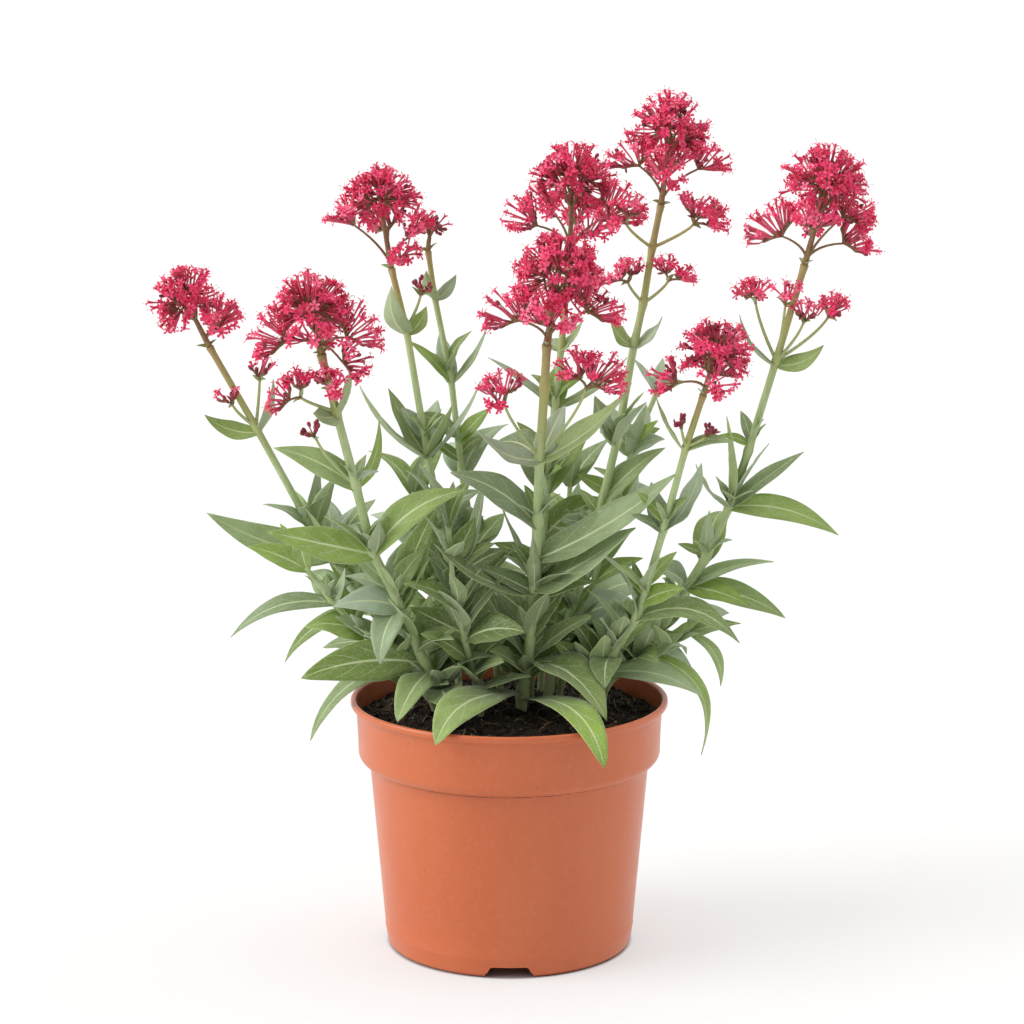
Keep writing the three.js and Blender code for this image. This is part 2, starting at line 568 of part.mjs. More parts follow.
// Florets over a cap of the sphere round `centre`, set out in a golden-angle spiral from its axis.
// One that would cross what stands already is made shorter, and left out if that doesn't clear it.
function flowers(node, others, { centre, axis, radius, reach, count, limb }, buds, next) {
  const turn = new THREE.Quaternion().setFromUnitVectors(UP, axis);
  const found = [];
  for (let i = 0; i < count; i++) {
    const height = 1 - ((i + 0.5) / count) * (1 - Math.cos(reach));
    const wide = Math.sqrt(1 - height * height);
    const direction = v(wide * Math.cos(i * GOLDEN), wide * Math.sin(i * GOLDEN), height).applyQuaternion(turn);
    const make = next() < buds ? bud : floret;
    const spin = next() * Math.PI;
    const size = radius * (0.94 + 0.12 * next());
    const inner = 0.17 * radius;
    for (const share of [1, 0.84, 0.7]) {
      const root = centre.clone().addScaledVector(direction, inner);
      const piece = make(root, direction, size * share - inner, spin, limb);
      const crosses = [...others, ...found].some((o) => o.intersect(piece).volume() > TOUCH);
      if (!crosses && isClear(node, piece, "flower")) {
        found.push(piece);
        break;
      }
    }
  }
  return found;
}

function clusterOf(node, stem, cluster, next) {
  const [, dx, dy, dz, radius, buds] = cluster;
  const { end, along, centre } = stalkRoute(stem, cluster);
  const foot = end.clone().addScaledVector(along, GAP);
  const axis = v(dx * 0.6, dy * 0.6, Math.abs(dz) + 6).normalize();
  const spray = { centre, axis, radius, ...CLUSTER, count: Math.round(2 + radius / 3) };
  const florets = flowers(node, [], spray, buds, next);
  return [knob(foot, centre, knotRadius(radius), 4), ...florets];
}

function headOf(node, stem, next) {
  const foot = at(stem.nodes.at(-1));
  const rise = foot.clone().sub(at(stem.nodes.at(-2))).normalize();
  const root = foot.clone().addScaledVector(rise, GAP);
  const fork = root.clone().addScaledVector(rise, FORK);
  const { dome, fans, buds = 0.12 } = stem.head;
  const top = foot.clone().add(at(dome));
  const radius = dome[3];
  const trunk = tube([root, fork, top], [stem.radius[1], stem.radius[1], 1.2], 5);
  const carrier = [trunk, ball(top, 0.45 * radius)];
  const axis = top.clone().sub(foot).normalize();
  const crown = { centre: top, axis, radius, ...DOME, count: Math.round(0.7 * radius) };
  const florets = flowers(node, [], crown, buds, next);
  for (const fan of fans) {
    const centre = foot.clone().add(at(fan));
    const outward = centre.clone().sub(foot).setZ(fan[2] * 0.5).normalize();
    const spray = { centre, axis: outward, radius: fan[3], ...FAN };
    florets.push(...flowers(node, [carrier[1], ...florets], spray, buds, next));
    carrier.push(knob(fork, centre, knotRadius(fan[3]), 3));
  }
  return [...carrier, ...florets];
}

// Building: the stems and stalks first, then the flowers, then the leaves between them.
const material = (colour, roughness) => new THREE.MeshStandardMaterial({ color: colour, roughness, metalness: 0 });
const MATERIALS = {
  pot: material(0xc9714e, 0.45),
  soil: material(0x2b211b, 0.95),
  leaf: material(0x6f8a68, 0.6),
  flower: material(0xc42a50, 0.6),
};

const group = new THREE.Group();
const add = (name, solid, kind) => group.add(meshOf(name, solid, MATERIALS[kind]));
const holeOf = (stem) => {
  const [foot, above] = stem.nodes.map(at);
  const low = foot.clone().addScaledVector(above.clone().sub(foot).normalize(), -GAP);
  const radius = stem.radius[0] + 2 * GAP;
  return tube([low, above], [radius, radius], STEM_SIDES);
};

const potSolid = pot();
const soilSolid = soil(STEMS.map(holeOf));
place("pot", potSolid);
place("soil", soilSolid);
add("pot", potSolid, "pot");
add("soil", soilSolid, "soil");

const bodies = new Map();
for (const stem of STEMS) {
  const pieces = [stemOf(stem), ...(stem.clusters ?? []).map((c) => stalkOf(stem, c))];
  bodies.set(stem.name, pieces);
  pieces.forEach((p) => place(stem.name, p, "stem"));
}

const addFlower = (name, pieces) => {
  const solid = wasm.Manifold.union(pieces);
  const largest = solid.decompose().sort((a, b) => b.volume() - a.volume())[0];
  place(name, largest, "flower");
  add(name, largest, "flower");
};
STEMS.forEach((stem, s) => {
  if (!stem.head) return;
  const next = random(100 + s);
  addFlower(`head_${stem.name}`, headOf(`head_${stem.name}`, stem, next));
  stem.clusters.forEach((cluster, c) => {
    const name = `cluster_${stem.name}_${c + 1}`;
    addFlower(name, clusterOf(name, stem, cluster, next));
  });
});

for (const stem of STEMS) {
  for (const spec of stem.leaves) {
    const blade = leafOf(stem, spec);
    if (blade) {
      bodies.get(stem.name).push(blade);
      place(stem.name, blade, spec[0]);
    }
  }
}
for (const [name, pieces] of bodies) {
  add(name.startsWith("shoot") ? name : `stem_${name}`, wasm.Manifold.union(pieces), "leaf");
}

export default group;
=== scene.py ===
import math

import bpy
import numpy as np
from mathutils import Matrix, Quaternion, Vector, noise


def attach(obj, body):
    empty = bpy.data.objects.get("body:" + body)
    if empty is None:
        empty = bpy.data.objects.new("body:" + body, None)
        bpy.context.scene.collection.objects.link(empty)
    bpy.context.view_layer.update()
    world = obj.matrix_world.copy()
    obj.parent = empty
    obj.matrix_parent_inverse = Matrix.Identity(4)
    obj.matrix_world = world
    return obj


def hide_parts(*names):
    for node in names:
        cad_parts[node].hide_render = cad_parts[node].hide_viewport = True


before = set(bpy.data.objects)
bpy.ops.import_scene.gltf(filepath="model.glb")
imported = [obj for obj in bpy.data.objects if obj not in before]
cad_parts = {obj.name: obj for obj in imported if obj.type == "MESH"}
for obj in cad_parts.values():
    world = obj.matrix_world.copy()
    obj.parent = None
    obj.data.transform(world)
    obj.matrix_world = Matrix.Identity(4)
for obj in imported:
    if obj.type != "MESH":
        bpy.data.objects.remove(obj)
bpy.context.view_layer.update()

# Units and the camera
MM = 0.001
IMAGE = 1024  # width and height of the photograph in pixels
FOCAL = 3000  # focal length in the same pixels
EYE = (0.66, -1378.7, 479.2)  # the camera's place in millimetres
PITCH = 11.1  # degrees that it looks down
YAW = 0.027  # degrees that it looks to the right

# The pot and the soil, in millimetres
POT_HEIGHT = 120
RIM_RADIUS = 75
BASE_RADIUS = 58.5
WALL = 1.6
COLLAR = 93
BODY_TOP = 86.5
BODY_TOP_RADIUS = 66
FLOOR_HEIGHT = 8
FOOT_RING = 2.2
NOTCH = {"count": 4, "top": 17, "bottom": 23.5, "height": 5.5}
DRAIN = {"count": 4, "radius": 5, "ring": 40}
UNDER_CURVE = {"radius": 5, "foot": 89.8}  # the curve under the collar, and where it meets the body
POT_SIDES = 288
BORE = {"collar": 69.8, "rim": 72.4}
SOIL_EDGE = 110
SOIL_CROWN = 3
SOIL_LUMP = 1.3

# The leaves
LEAF_FOLD = 0.28  # rise of a leaf's edges, as a share of its half-width
LIGHT_TURN = 52  # degrees that a sideways leaf turns its face towards the light in front
AXIL = 0.05  # how far below a stem's bend its leaves start, as a share of the stretch between bends
LEAF_ROWS = 16
LEAF_COLUMNS = (-1, -0.7, -0.36, -0.08, 0.08, 0.36, 0.7, 1)
BREADTH = 1.12  # how much broader a full leaf is than its plain solid
FULL_LEAF = 7  # width from which a leaf is a full one
LOW_LEAF = 2.2  # bends of the stem up to which its leaves are blunt low ones
TONES = {"blue": (0.12, 0.12), "green": (0.6, 0.16), "share": 0.66}  # means and spreads, share of blue leaves
LEAF_SHEET = 0.24  # half a leaf's thickness between its ribs
MIDRIB = 0.5  # how far the midrib stands out below
TWIST = 26  # degrees that a leaf turns at most on its way to the tip
SWAY = 0.05  # how far it bows sideways at most, as a share of its length
BLUNT = {"low": (0.68, 0.9), "high": (0.85, 1.05)}  # the power of its outline: below 1 the tip is rounder
WAVES = {"count": (1.2, 2.4), "height": (0.02, 0.06)}  # along the edge, their height a share of the width
CUP = (0.45, 1.05)  # share of LEAF_FOLD that a leaf has
YOUNG_LEAVES = {"lower": 8, "upper": 4}  # at each bend of a stem, near its foot and higher up
YOUNG_LENGTH = (17, 36)  # their length there, higher up and near the foot
YOUNG_LIFT = (0.35, 1.5)  # how steeply they rise
YOUNG_WIDTH = (0.28, 0.38)  # as a share of their length
YOUNG_ARCH = (0.02, 0.09)
YOUNG_REACH = 62  # how far from the pot's axis they may reach beside its rim
BRACT = {"length": (4, 6.5), "width": 1.7, "arch": 0.5}
VEINS = 5  # pairs of side veins
VEIN_SLANT = 1.5  # how far they run forward on their way to the edge
VEIN_RELIEF = 0.035
FULL_TURN = 6.3  # radians, for angles drawn at random
FOUND = 0.06  # how near in millimetres a point of the part must lie to be a leaf's tip
# The turns about the stem in degrees and the lifts in millimetres that a leaf of the part may have.
SHIFTS = [
    (0, 0), (7, 0), (-7, 0), (0, 6), (14, 0), (-14, 0), (0, 12), (10, 8), (-10, 8),
    (22, 4), (-22, 4), (0, -6), (32, 8), (-32, 8), (45, 4), (-45, 4), (60, 8), (-60, 8),
]

# The flowers
FORK = 3  # height of a head's lowest branches above its foot
PETAL_LENGTH = (2.0, 2.9)
PETAL_WIDTH = (1.15, 1.55)
PETAL_DROOP = (-0.4, 2.2)  # how far a petal bows over
PETAL_LEAN = (-0.05, 0.75)  # its slope forward from the throat
STAMEN = 2.8  # how far a stamen stands out of its floret
WITH_STAMEN = 0.3  # share of the florets that have one
GRAINS = 7  # tiny buds in a spray
BUD_SHARE = 0.12  # of a head's flowers, if its record names no other
TWIG_RADIUS = (0.75, 0.5)  # of a spray's own stalk, at its foot and at its fork
LARGE_DOME = 15  # radius above which a dome has both rings of sprays
DOME_RINGS = ((0.85, 4, 0.0), (1.55, 5, 0.5))  # angle from the top, sprays round the ring, and its turn
SMALL_DOME_RINGS = ((1.1, 4, 0.3),)
SPRAY_OFFSET = 0.43  # how far a dome's sprays stand from its middle, as a share of its radius
SPRAY_SIZE = 0.63  # their own radius, as a share of it
DOME_FLORETS = 0.05  # florets in one spray of a dome, per square millimetre of its radius
SPLAY = {"first": 0.08, "last": 1.2, "across": 0.95}  # how far its florets lean along its arms and across
SHORTEST = 0.36  # how much shorter than the rest a floret may be, as a share
SHADES = 0.27  # how much the florets differ in tone
ARM_REACH = 0.54  # length of a spray's two arms, as a share of its radius
FAN_FLORETS = 2.25  # florets in a fan, per millimetre of its radius
FAN_SIZE = 1.18  # how much fuller a fan is than its plain solid
CLUSTER_SIZE = 1.22  # and a side cluster
CLUSTER_PARTS = (9.5, 13)  # radii from which a cluster has two sprays, and three
STALK_RADIUS = (0.85, 0.6)  # of a side cluster's stalk

# The stems
STEM_STEP = 4
STEM_SIDES = 14
NODE_SWELL = 0.3
NODE_LENGTH = 2.6

# The soil's small pieces
CRUMBS = 2600
PERLITE = 70
FIBRES = 170

# Colours, linear
LEAF_BLUE = (0.47, 0.59, 0.44)
LEAF_GREEN = (0.38, 0.53, 0.13)
LEAF_FRESH = (0.31, 0.48, 0.045)
LEAF_DARK_AND_SHADE = (0.11, 0.17, 0.02)
LEAF_BLOOM = (0.68, 0.75, 0.6)
LEAF_UNDER = (0.56, 0.65, 0.4)
# Where a shade is painted on the leaves, low in the middle of the plant, in metres, and how much
LEAF_INNER_SHADE = {"radius": (0.02, 0.07), "height": (0.17, 0.29), "share": 0.8}
LEAF_VEIN = (0.66, 0.75, 0.46)
LEAF_RIB = (0.8, 0.88, 0.52)
LEAF_GLOW = (0.4, 0.52, 0.06)
LEAF_GLOW_FRESH = (0.4, 0.58, 0.02)
STEM_GREEN = (0.36, 0.46, 0.2)
STEM_PALE = (0.46, 0.55, 0.29)
STEM_DARK = (0.19, 0.28, 0.1)
STEM_NODE = (0.5, 0.58, 0.27)
STEM_OLIVE = (0.42, 0.41, 0.14)
STEM_RED = (0.36, 0.21, 0.1)
PETAL_DEEP = (0.56, 0.01, 0.06)
PETAL_ROSE = (0.88, 0.042, 0.17)
PETAL_PALE = (0.95, 0.22, 0.36)
PETAL_GLOW = (0.95, 0.06, 0.18)
TUBE_DARK = (0.55, 0.03, 0.1)
TUBE_ROSE = (0.8, 0.1, 0.2)
TUBE_PALE = (0.88, 0.28, 0.38)
OVARY_BROWN = (0.25, 0.15, 0.07)
TWIG_OLIVE = (0.27, 0.22, 0.09)
TWIG_RED = (0.26, 0.1, 0.06)
TWIG_BROWN = (0.22, 0.12, 0.06)
BUD_DARK = (0.13, 0.012, 0.025)
BUD_RED = (0.38, 0.02, 0.06)
BUD_PALE = (0.36, 0.07, 0.08)
POT_CLAY = (0.52, 0.113, 0.034)
POT_WARM = (0.55, 0.132, 0.042)
POT_DUST = (0.61, 0.19, 0.085)
POT_SPECK = (0.08, 0.03, 0.02)
SOIL_BLACK = (0.012, 0.009, 0.007)
SOIL_BROWN_AND_POT_SHADE = (0.045, 0.028, 0.017)
SOIL_LIGHT = (0.12, 0.075, 0.045)
ANTHER_TONES = ((0.2, 0.13, 0.17), (0.45, 0.38, 0.42))
PERLITE_TONES = ((0.5, 0.48, 0.44), (0.85, 0.84, 0.8))
FIBRE_TONES = ((0.12, 0.07, 0.035), (0.3, 0.2, 0.11))

# The studio
FLOOR_HALF = 40  # metres
FLOOR_WHITE = (0.405, 0.4, 0.395)
FLOOR_PALE = (0.455, 0.455, 0.45)
FLOOR_GLOW = 0.44  # the rest of its white, so that shadows on it stay pale
GLOW_RANGE = (0.057, 0.0595)  # metres from the pot's axis over which the glow sets in; the floor under the pot has none, a painted shade under the pot
WORLD = {"front": 0.2, "back": 0.8, "top": 0.7}  # the room's brightness
WALLS = (-0.7, 0.3)  # directions between which it changes from front to back
CEILING = (0.25, 0.9)  # and from the side to the top
HORIZON = (0.2, 0.08)  # and grows white towards the horizon, so that the floor has no far edge
KEY = {"strength": 2.1, "spread": 45, "from": (-0.88, -0.22, 0.55)}
FILL = {"strength": 0.38, "spread": 60, "from": (0.9, 0.1, 0.5)}

# The plant. A stem is its bends from the foot up. A leaf is its place on the stem, its tip's way from there,
# width, arch and roll, and a cluster its place, its centre's way, its radius and its share of buds.
STEMS = [{
    "name": "far_left", "radius": [2.4, 1.5],
    "nodes": [
        [-24, 10, 98], [-34, 10, 122], [-66, 11, 160], [-85, 11, 186], [-93, 11, 198], [-119, 12, 247],
        [-140, 12, 285],
    ],
    "leaves": [
        [5, -25, -4, 9, 8, -4, 0], [5, 7, 2, 25, 8, -3, -60], [4, -23, -6, 14, 7, 3, 0],
        [4, 3, 8, 31, 8, 0, 60], [4, 11, -4, 27, 8, 0, -60], [3, -58, -8, 23, 15, -4, -15],
        [3, 20, 20, 24, 12.5, 3, 0], [2, -43, 6, -26, 8, 8, 0], [2, -16, 34, 12, 15, 4, 0],
        [1.3, -48, 22, 4, 16, 7, 0], [3, -6, 26, 26, 11.5, 2, 0],
    ],
    "head": {"dome": [-10, -2, 21, 16.5], "fans": [[5, -6, 11, 11], [3, 9, 11, 10]]},
    "clusters": [[5, -12, -5, 14, 6, 0.5], [5, 2, 4, 25, 6.5, 0.5]],
}, {
    "name": "left", "radius": [2.7, 1.8],
    "nodes": [
        [-26, -4, 98], [-29, -9, 121], [-40, -14, 140], [-51, -20, 169], [-63, -26, 195], [-70, -34, 228],
        [-78, -42, 263], [-84, -48, 290],
    ],
    "leaves": [
        [6, 6, 3, 22, 10.5, -3, -50], [6, -10, -12, 3, 10.5, -2, 0], [5, -38, 4, 18, 11.5, 4, 0],
        [5, 10, 10, 30, 6, -3, 60], [4, -48, -12, 13, 15, 2, -10], [4, 44, -8, 32, 15, 7, 12],
        [4, -22, -10, 20, 7, 2, 0], [4, 3, -9, 18, 8, -2, 0], [3, -26, 8, 13, 10.5, 3, 0],
        [3, -31, -8, 2, 13.5, 4, 0], [3, 17, 6, 46, 13.5, 2, 40], [3, 14, -6, 25, 7, 0, 20],
        [3, -9, -14, -24, 12.5, 6, 0], [2, -57, -16, -3, 18, 6, -25], [2, -54, -2, -37, 9, 13, 0],
        [1.8, -14, -36, -15, 13.5, 3, 0], [1.3, 5, -36, -1, 17, 3, 0],
    ],
    "head": {
        "dome": [-4, 0, 19, 17.5],
        "fans": [
          [-18, -3, 8, 12], [14, -3, 10, 12], [12, -9, -2, 9], [-3, -13, 9, 10], [0, 14, 9, 12],
        ],
   },
    "clusters": [[6, -19, -6, 10, 9.5, 0.2], [6, -2, -15, 15, 8.5, 0.2], [5, -19, -5, 25, 6.5, 1]],
}, {
    "name": "left_back", "radius": [2.3, 1.5],
    "nodes": [
        [-12, 8, 98], [-15, 12, 123], [-21, 17, 153], [-31, 23, 190], [-39, 30, 231], [-49, 39, 290],
        [-56, 44, 318],
    ],
    "leaves": [
        [4, -32, -6, 36, 13.5, -5, 25], [4, -19, 5, 33, 10.5, -2, 0], [4, 25, -4, 38, 12.5, -3, -30],
        [4, 12, -10, 28, 8, -1, -20], [5, -7, -6, 24, 11.5, -4, 40], [5, 9, 5, 13, 8, -2, 0],
        [3.4, -15, -3, 20, 7, 2, 0], [3.4, 16, 4, 9, 8, 3, 0], [3, -17, 30, 20, 15, 4, 0],
        [2.5, -6, 44, 8, 17, 6, 0], [4, 4, 26, 24, 11.5, 2, 0],
    ],
    "head": {
        "dome": [-5, 0, 32.5, 17.5],
        "fans": [
          [-19, -3, 23, 11], [10, -5, 18, 11], [5, -8, 7, 8], [-2, 13, 20, 12],
        ],
   },
    "clusters": [[5, 8, -7, 20, 7, 1]],
}, {
    "name": "centre_left_back", "radius": [2, 1.3],
    "nodes": [
        [-3, 18, 98], [-5, 23, 123], [-13, 31, 161], [-23, 43, 221], [-28, 52, 264], [-36, 60, 303],
        [-39, 64, 324],
    ],
    "leaves": [
        [4, -21, -2, 21, 7, 2, 0], [4, 17, -2, 27, 7, -2, 0], [4, -6, 18, 22, 8, 2, 0],
        [3, 22, 20, 22, 11.5, 4, 0], [3, -6, 26, 12, 12.5, 4, 0], [5, -4, -7, 15, 8, -3, 0],
        [5, 10, 4, 12, 7, -2, 0], [2, -30, 34, 8, 16, 6, 0], [2, 24, 36, 4, 16, 7, 0],
    ],
    "head": {"dome": [1, 0, 10, 10], "fans": [], "buds": 0.8},
    "clusters": [],
}, {
    "name": "centre_back", "radius": [2.3, 1.5],
    "nodes": [
        [9, 18, 98], [10, 22, 123], [14, 28, 159], [18, 38, 214], [22, 44, 253], [25, 49, 280],
        [29, 56, 323],
    ],
    "leaves": [
        [4, -32, -4, 25, 6, 2, 0], [4, 35, 4, 24, 6, -3, 0], [5, 10, -5, 15, 12.5, -2, 0],
        [5, -9, 5, 2, 7, 1, 0], [3, -16, 24, 24, 12.5, 4, 0], [3, 22, 16, 28, 12.5, 3, 0],
        [2, 4, 50, -4, 17, 8, 0], [2.6, 34, 22, 14, 13.5, 4, 0], [4, 4, 20, 20, 10.5, 2, 0],
    ],
    "head": {
        "dome": [1, 0, 34, 20],
        "fans": [
          [-18, -4, 17, 12], [21, -3, 22, 13], [10, -12, 13, 11], [-9, -13, 24, 11], [4, 13, 17, 12],
        ],
   },
    "clusters": [],
}, {
    "name": "centre", "radius": [2.9, 1.9],
    "nodes": [
        [5, 5, 98], [6, 0, 121], [9, -4, 138], [12, -12, 174], [13, -20, 208], [14, -28, 240],
        [16, -36, 273], [17, -40, 293],
    ],
    "leaves": [
        [5, -28, -11, 15, 13.5, -4, 15], [5, 40, -8, 33, 16, -4, -5], [5, -22, 16, 4, 13.5, 4, 0],
        [5, 12, 20, 22, 10.5, 2, 0], [4, -40, -7, 26, 15, 4, 0], [3.5, 64, -18, 44, 17, -3, 0],
        [3.1, 46, -20, 32, 22, 0, 8], [3, -46, -22, 28, 12.5, -4, 25], [3, 27, -12, 8, 13.5, 2, 0],
        [3, 2, -8, 25, 6, -4, 0], [3, 12, -4, 24, 5, 0, 0], [3, -17, 7, 44, 12.5, 0, 35],
        [3, -27, -6, 14, 10.5, 2, 0], [2, 36, -39, -18, 23, 9, -22], [2, -20, -7, 4, 7, 3, 0],
        [2, 31, -9, 25, 11.5, 2, -15], [2, -26, 8, 42, 20.5, 0, 35], [1.05, -39, -77, -4, 19, 10, 10, 0.75],
        [0.9, 37, -79, -11, 16, 16, -20, 0.8], [1.4, -8, -22, 8, 6, 3, 0],
    ],
    "head": {
        "dome": [5, 0, 29.5, 22],
        "fans": [
          [-15, -6, 14, 12], [1, -16, 12, 11], [20, -6, 18, 12], [2, 16, 14, 12],
        ],
   },
    "clusters": [[5, -18, -15, 31, 10.5, 0.15], [5, 23, -15, 39, 13, 0.15]],
}, {
    "name": "right_centre", "radius": [2.4, 1.5],
    "nodes": [
        [16, 8, 98], [19, 10, 122], [27, 12, 150], [38, 14, 185], [51, 18, 240], [59, 22, 286],
        [63, 23, 304], [67, 25, 330], [71, 26, 350],
    ],
    "leaves": [
        [5, -11, -3, 14, 10.5, -2, 0], [5, 13, -5, 15, 10.5, -3, 0], [4, -10, 5, 23, 16, -1, 30],
        [4, 14, -8, 22, 12.5, 1, -20], [4, -6, 24, 16, 11.5, 2, 0], [3, 14, 30, 22, 15, 4, 0],
        [3.5, 30, 4, 26, 11.5, 3, 0], [3, -18, -10, 18, 11.5, 2, 0], [2, 20, 44, -4, 17, 7, 0],
    ],
    "head": {
        "dome": [4, 0, 33.5, 18.5],
        "fans": [
          [-12, -4, 21, 11], [19, -3, 19, 11], [1, -13, 15, 11], [3, 13, 16, 12],
        ],
   },
    "clusters": [
        [7, 23, -3, 15, 11, 0.1], [7, -15, -14, 16, 9.5, 0.1], [6, -9, -5, 14, 8, 0.1],
        [6, 13.5, -5, 14.5, 8, 0.1],
    ],
}, {
    "name": "right", "radius": [2.3, 1.4],
    "nodes": [
        [34, 6, 98], [37, 0, 122], [48, -9, 142], [60, -18, 163], [71, -30, 207], [80, -42, 247],
        [87, -50, 272],
    ],
    "leaves": [
        [5, 21, -7, 5, 6, 3, 0], [5, -13, 3, 24, 8, -2, 40], [4, 18, 8, 31, 15, -4, -35],
        [4, -5, 9, 22, 11.5, -2, 30], [4, -15, -8, 10, 6, 1, 0], [3, 47, -13, -9, 13, 9, -15],
        [3, -19, 6, 30, 15, 5, 35], [3, 17, 8, 12, 11.5, 2, 0], [2, -3, -24, -9, 13.5, 3, 0],
        [1.5, 48, -16, -6, 13, 5, -10], [2, 4, 20, 26, 11.5, 2, 0],
    ],
    "head": {
        "dome": [5, 0, 18, 16.5], "fans": [[-14, -2, 7, 9], [4, -12, 8, 9], [6, 12, 9, 10]], "buds": 0.3,
    },
    "clusters": [[5, -3, -8, 12, 4.5, 1], [5, 10, -6, 7, 5, 1]],
}, {
    "name": "far_right", "radius": [2.7, 1.6],
    "nodes": [
        [30, 16, 98], [38, 14, 120], [60, 13, 139], [74, 12, 153], [93, 9, 185], [104, 7, 211],
        [112, 5, 237], [124, 2, 280], [136, -2, 325],
    ],
    "leaves": [
        [7, -17, -5, 24, 8, -4, 20], [7, 22, -5, 10, 8, -4, 0], [5, 51, -8, -12, 11, 5, 0],
        [5, -16, -3, 21, 15, -3, 30], [5, -2, -4, 44, 10.5, 1, -50], [5, 18, -4, 31, 10.5, 1, -40],
        [5, 35, 2, 26, 10.5, 1, -20], [4, 2, -4, 25, 7, 0, -50], [3.6, 40, -9, 14, 9, 2, -15],
        [3.6, 47, 3, -16, 11, 6, 0], [3.6, 28, -14, -6, 10.5, 2, 0], [3.6, -17, -7, 10, 15, 2, 0],
        [4, 10, 30, 18, 13.5, 4, 0], [2, 33, -6, -49, 10, 17, 0], [2, 30, 12, -14, 10.5, 5, 0],
        [3, 14, 34, 4, 16, 6, 0], [2, -6, 40, 4, 16, 6, 0],
    ],
    "head": {
        "dome": [9, 0, 35, 19.5],
        "fans": [
          [-13, -3, 16, 12], [20, -2, 12, 12], [18, -8, 25, 11], [3, -12, 20, 10], [5, 14, 17, 12],
        ],
   },
    "clusters": [
        [7, -11, 0, 31, 8.5, 0.1], [7, 3, -12, 31, 7.5, 0.1], [7, 13, -8, 22, 7.5, 0.1],
        [7, 26, -3, 24, 8.5, 0.1],
    ],
}, {
    "name": "shoot_left", "radius": [1.8, 1.2],
    "nodes": [
        [-32, -2, 98], [-36, -3, 119], [-51, -8, 136], [-69, -10, 153], [-83, -10, 168], [-95, -10, 184],
    ],
    "leaves": [
        [4, -48, -2, -16, 9, 6, 0], [4, 6, -6, 18, 6, -2, 60], [5, -27, -4, 12, 10.5, 1, 0],
        [5, -4, 2, 20, 8, 0, -50], [5, -13, 10, 20, 7, 0, 0], [3, -27, -6, 5, 13.5, 4, 0],
        [3, 10, -14, -8, 7, 3, 0], [4, -12, 24, 10, 11.5, 3, 0],
    ],
}, {
    "name": "shoot_middle", "radius": [1.8, 1.2],
    "nodes": [[-12, -8, 98], [-14, -12, 123], [-21, -17, 152], [-26, -22, 183], [-28, -26, 207]],
    "leaves": [
        [2, -12, -8, 26, 13.5, 2, 30], [2, 14, 4, 30, 12.5, 2, -30], [3, 19, 4, 40, 13.5, -4, -30],
        [3, -14, 2, 30, 12.5, 2, 30], [4, -12, -6, 22, 8, 2, 0], [4, 12, 4, 24, 8, 2, 0],
        [2, 28, -16, 8, 15, 5, 0], [4, 2, 12, 20, 7, 0, 0],
    ],
}, {
    "name": "shoot_right_back", "radius": [1.8, 1.2],
    "nodes": [[22, 20, 98], [25, 24, 121], [38, 31, 159], [50, 38, 201], [59, 43, 230], [71, 48, 258]],
    "leaves": [
        [4, 7, -3, 25, 13.5, -2, -30], [4, 16, -4, 8, 10.5, 3, 0], [4, -15, 6, 10, 10.5, 3, 0],
        [5, -11, -2, 18, 7, 1, 0], [5, 15, 2, 6, 6, 2, 0], [3, 22, 26, 8, 13.5, 5, 0],
        [2, 34, 34, 0, 16, 7, 0], [3, -8, 27, 14, 12.5, 4, 0], [5, 4, 14, 16, 7, 1, 0],
    ],
}, {
    "name": "shoot_right_low", "radius": [1.6, 1.1],
    "nodes": [[42, 6, 98], [46, 5, 124], [58, 4, 134], [70, 4, 140], [86, 4, 150]],
    "leaves": [
        [4, 15, -3, -25, 7, 6, 0], [4, 24, -6, 6, 8, 2, 0], [4, 20, 16, 6, 10.5, 4, 0],
        [3, 10, 26, -6, 11.5, 6, 0], [2, 12, -26, 2, 10.5, 4, 0],
    ],
}, {
    "name": "shoot_back", "radius": [1.8, 1.2],
    "nodes": [[-22, 26, 98], [-25, 34, 122], [-34, 45, 149], [-43, 56, 180], [-47, 64, 206]],
    "leaves": [
        [2, -40, 8, 0, 16, 7, 0], [2, 12, 37, -8, 17, 8, 0], [3, -26, 20, 14, 15, 5, 0],
        [3, 30, 16, 14, 15, 5, 0], [4, -22, 0, 22, 11.5, 3, 0], [4, 14, 16, 20, 11.5, 3, 0],
        [4, 6, -12, 24, 8, 2, 0], [1.2, -30, 34, 4, 17, 8, 0],
    ],
}, {
    "name": "shoot_back_right", "radius": [1.8, 1.2],
    "nodes": [[14, 34, 98], [16, 42, 122], [22, 52, 149], [28, 62, 182], [30, 70, 210]],
    "leaves": [
        [2, -28, 30, -6, 17, 8, 0], [3, 28, 18, 14, 15, 5, 0], [3, -28, 14, 16, 15, 5, 0],
        [4, 20, 8, 22, 11.5, 3, 0], [4, -14, 12, 22, 11.5, 3, 0], [4, 4, -14, 24, 8, 2, 0],
        [1.2, 34, 30, 8, 17, 8, 0], [1.6, 8, 35, 8, 17, 8, 0],
    ],
}]

UP = Vector((0, 0, 1))


# Helpers for shapes
def clamped(value):
    return min(max(value, 0), 1)


def smooth(low, high, value):
    """0 up to low, 1 from high, and a soft step between them."""
    t = clamped((value - low) / (high - low))
    return t * t * (3 - 2 * t)


def mixed(a, b, t):
    return a + (b - a) * t


def square_to(direction):
    """Two directions square to one and to each other."""
    first = (Vector((1, 0, 0)) if abs(direction.z) > 0.9 else UP).cross(direction).normalized()
    return first, direction.cross(first)


def sideways(direction, a):
    """The direction square to one, at an angle round it."""
    first, second = square_to(direction)
    return first * math.cos(a) + second * math.sin(a)


def spot(radius, a):
    return radius * math.cos(a), radius * math.sin(a)


def circle(count):
    """The angles of even steps all the way round."""
    return [math.tau * k / count for k in range(count)]


def shifted(faces, start):
    return [tuple(start + i for i in face) for face in faces]


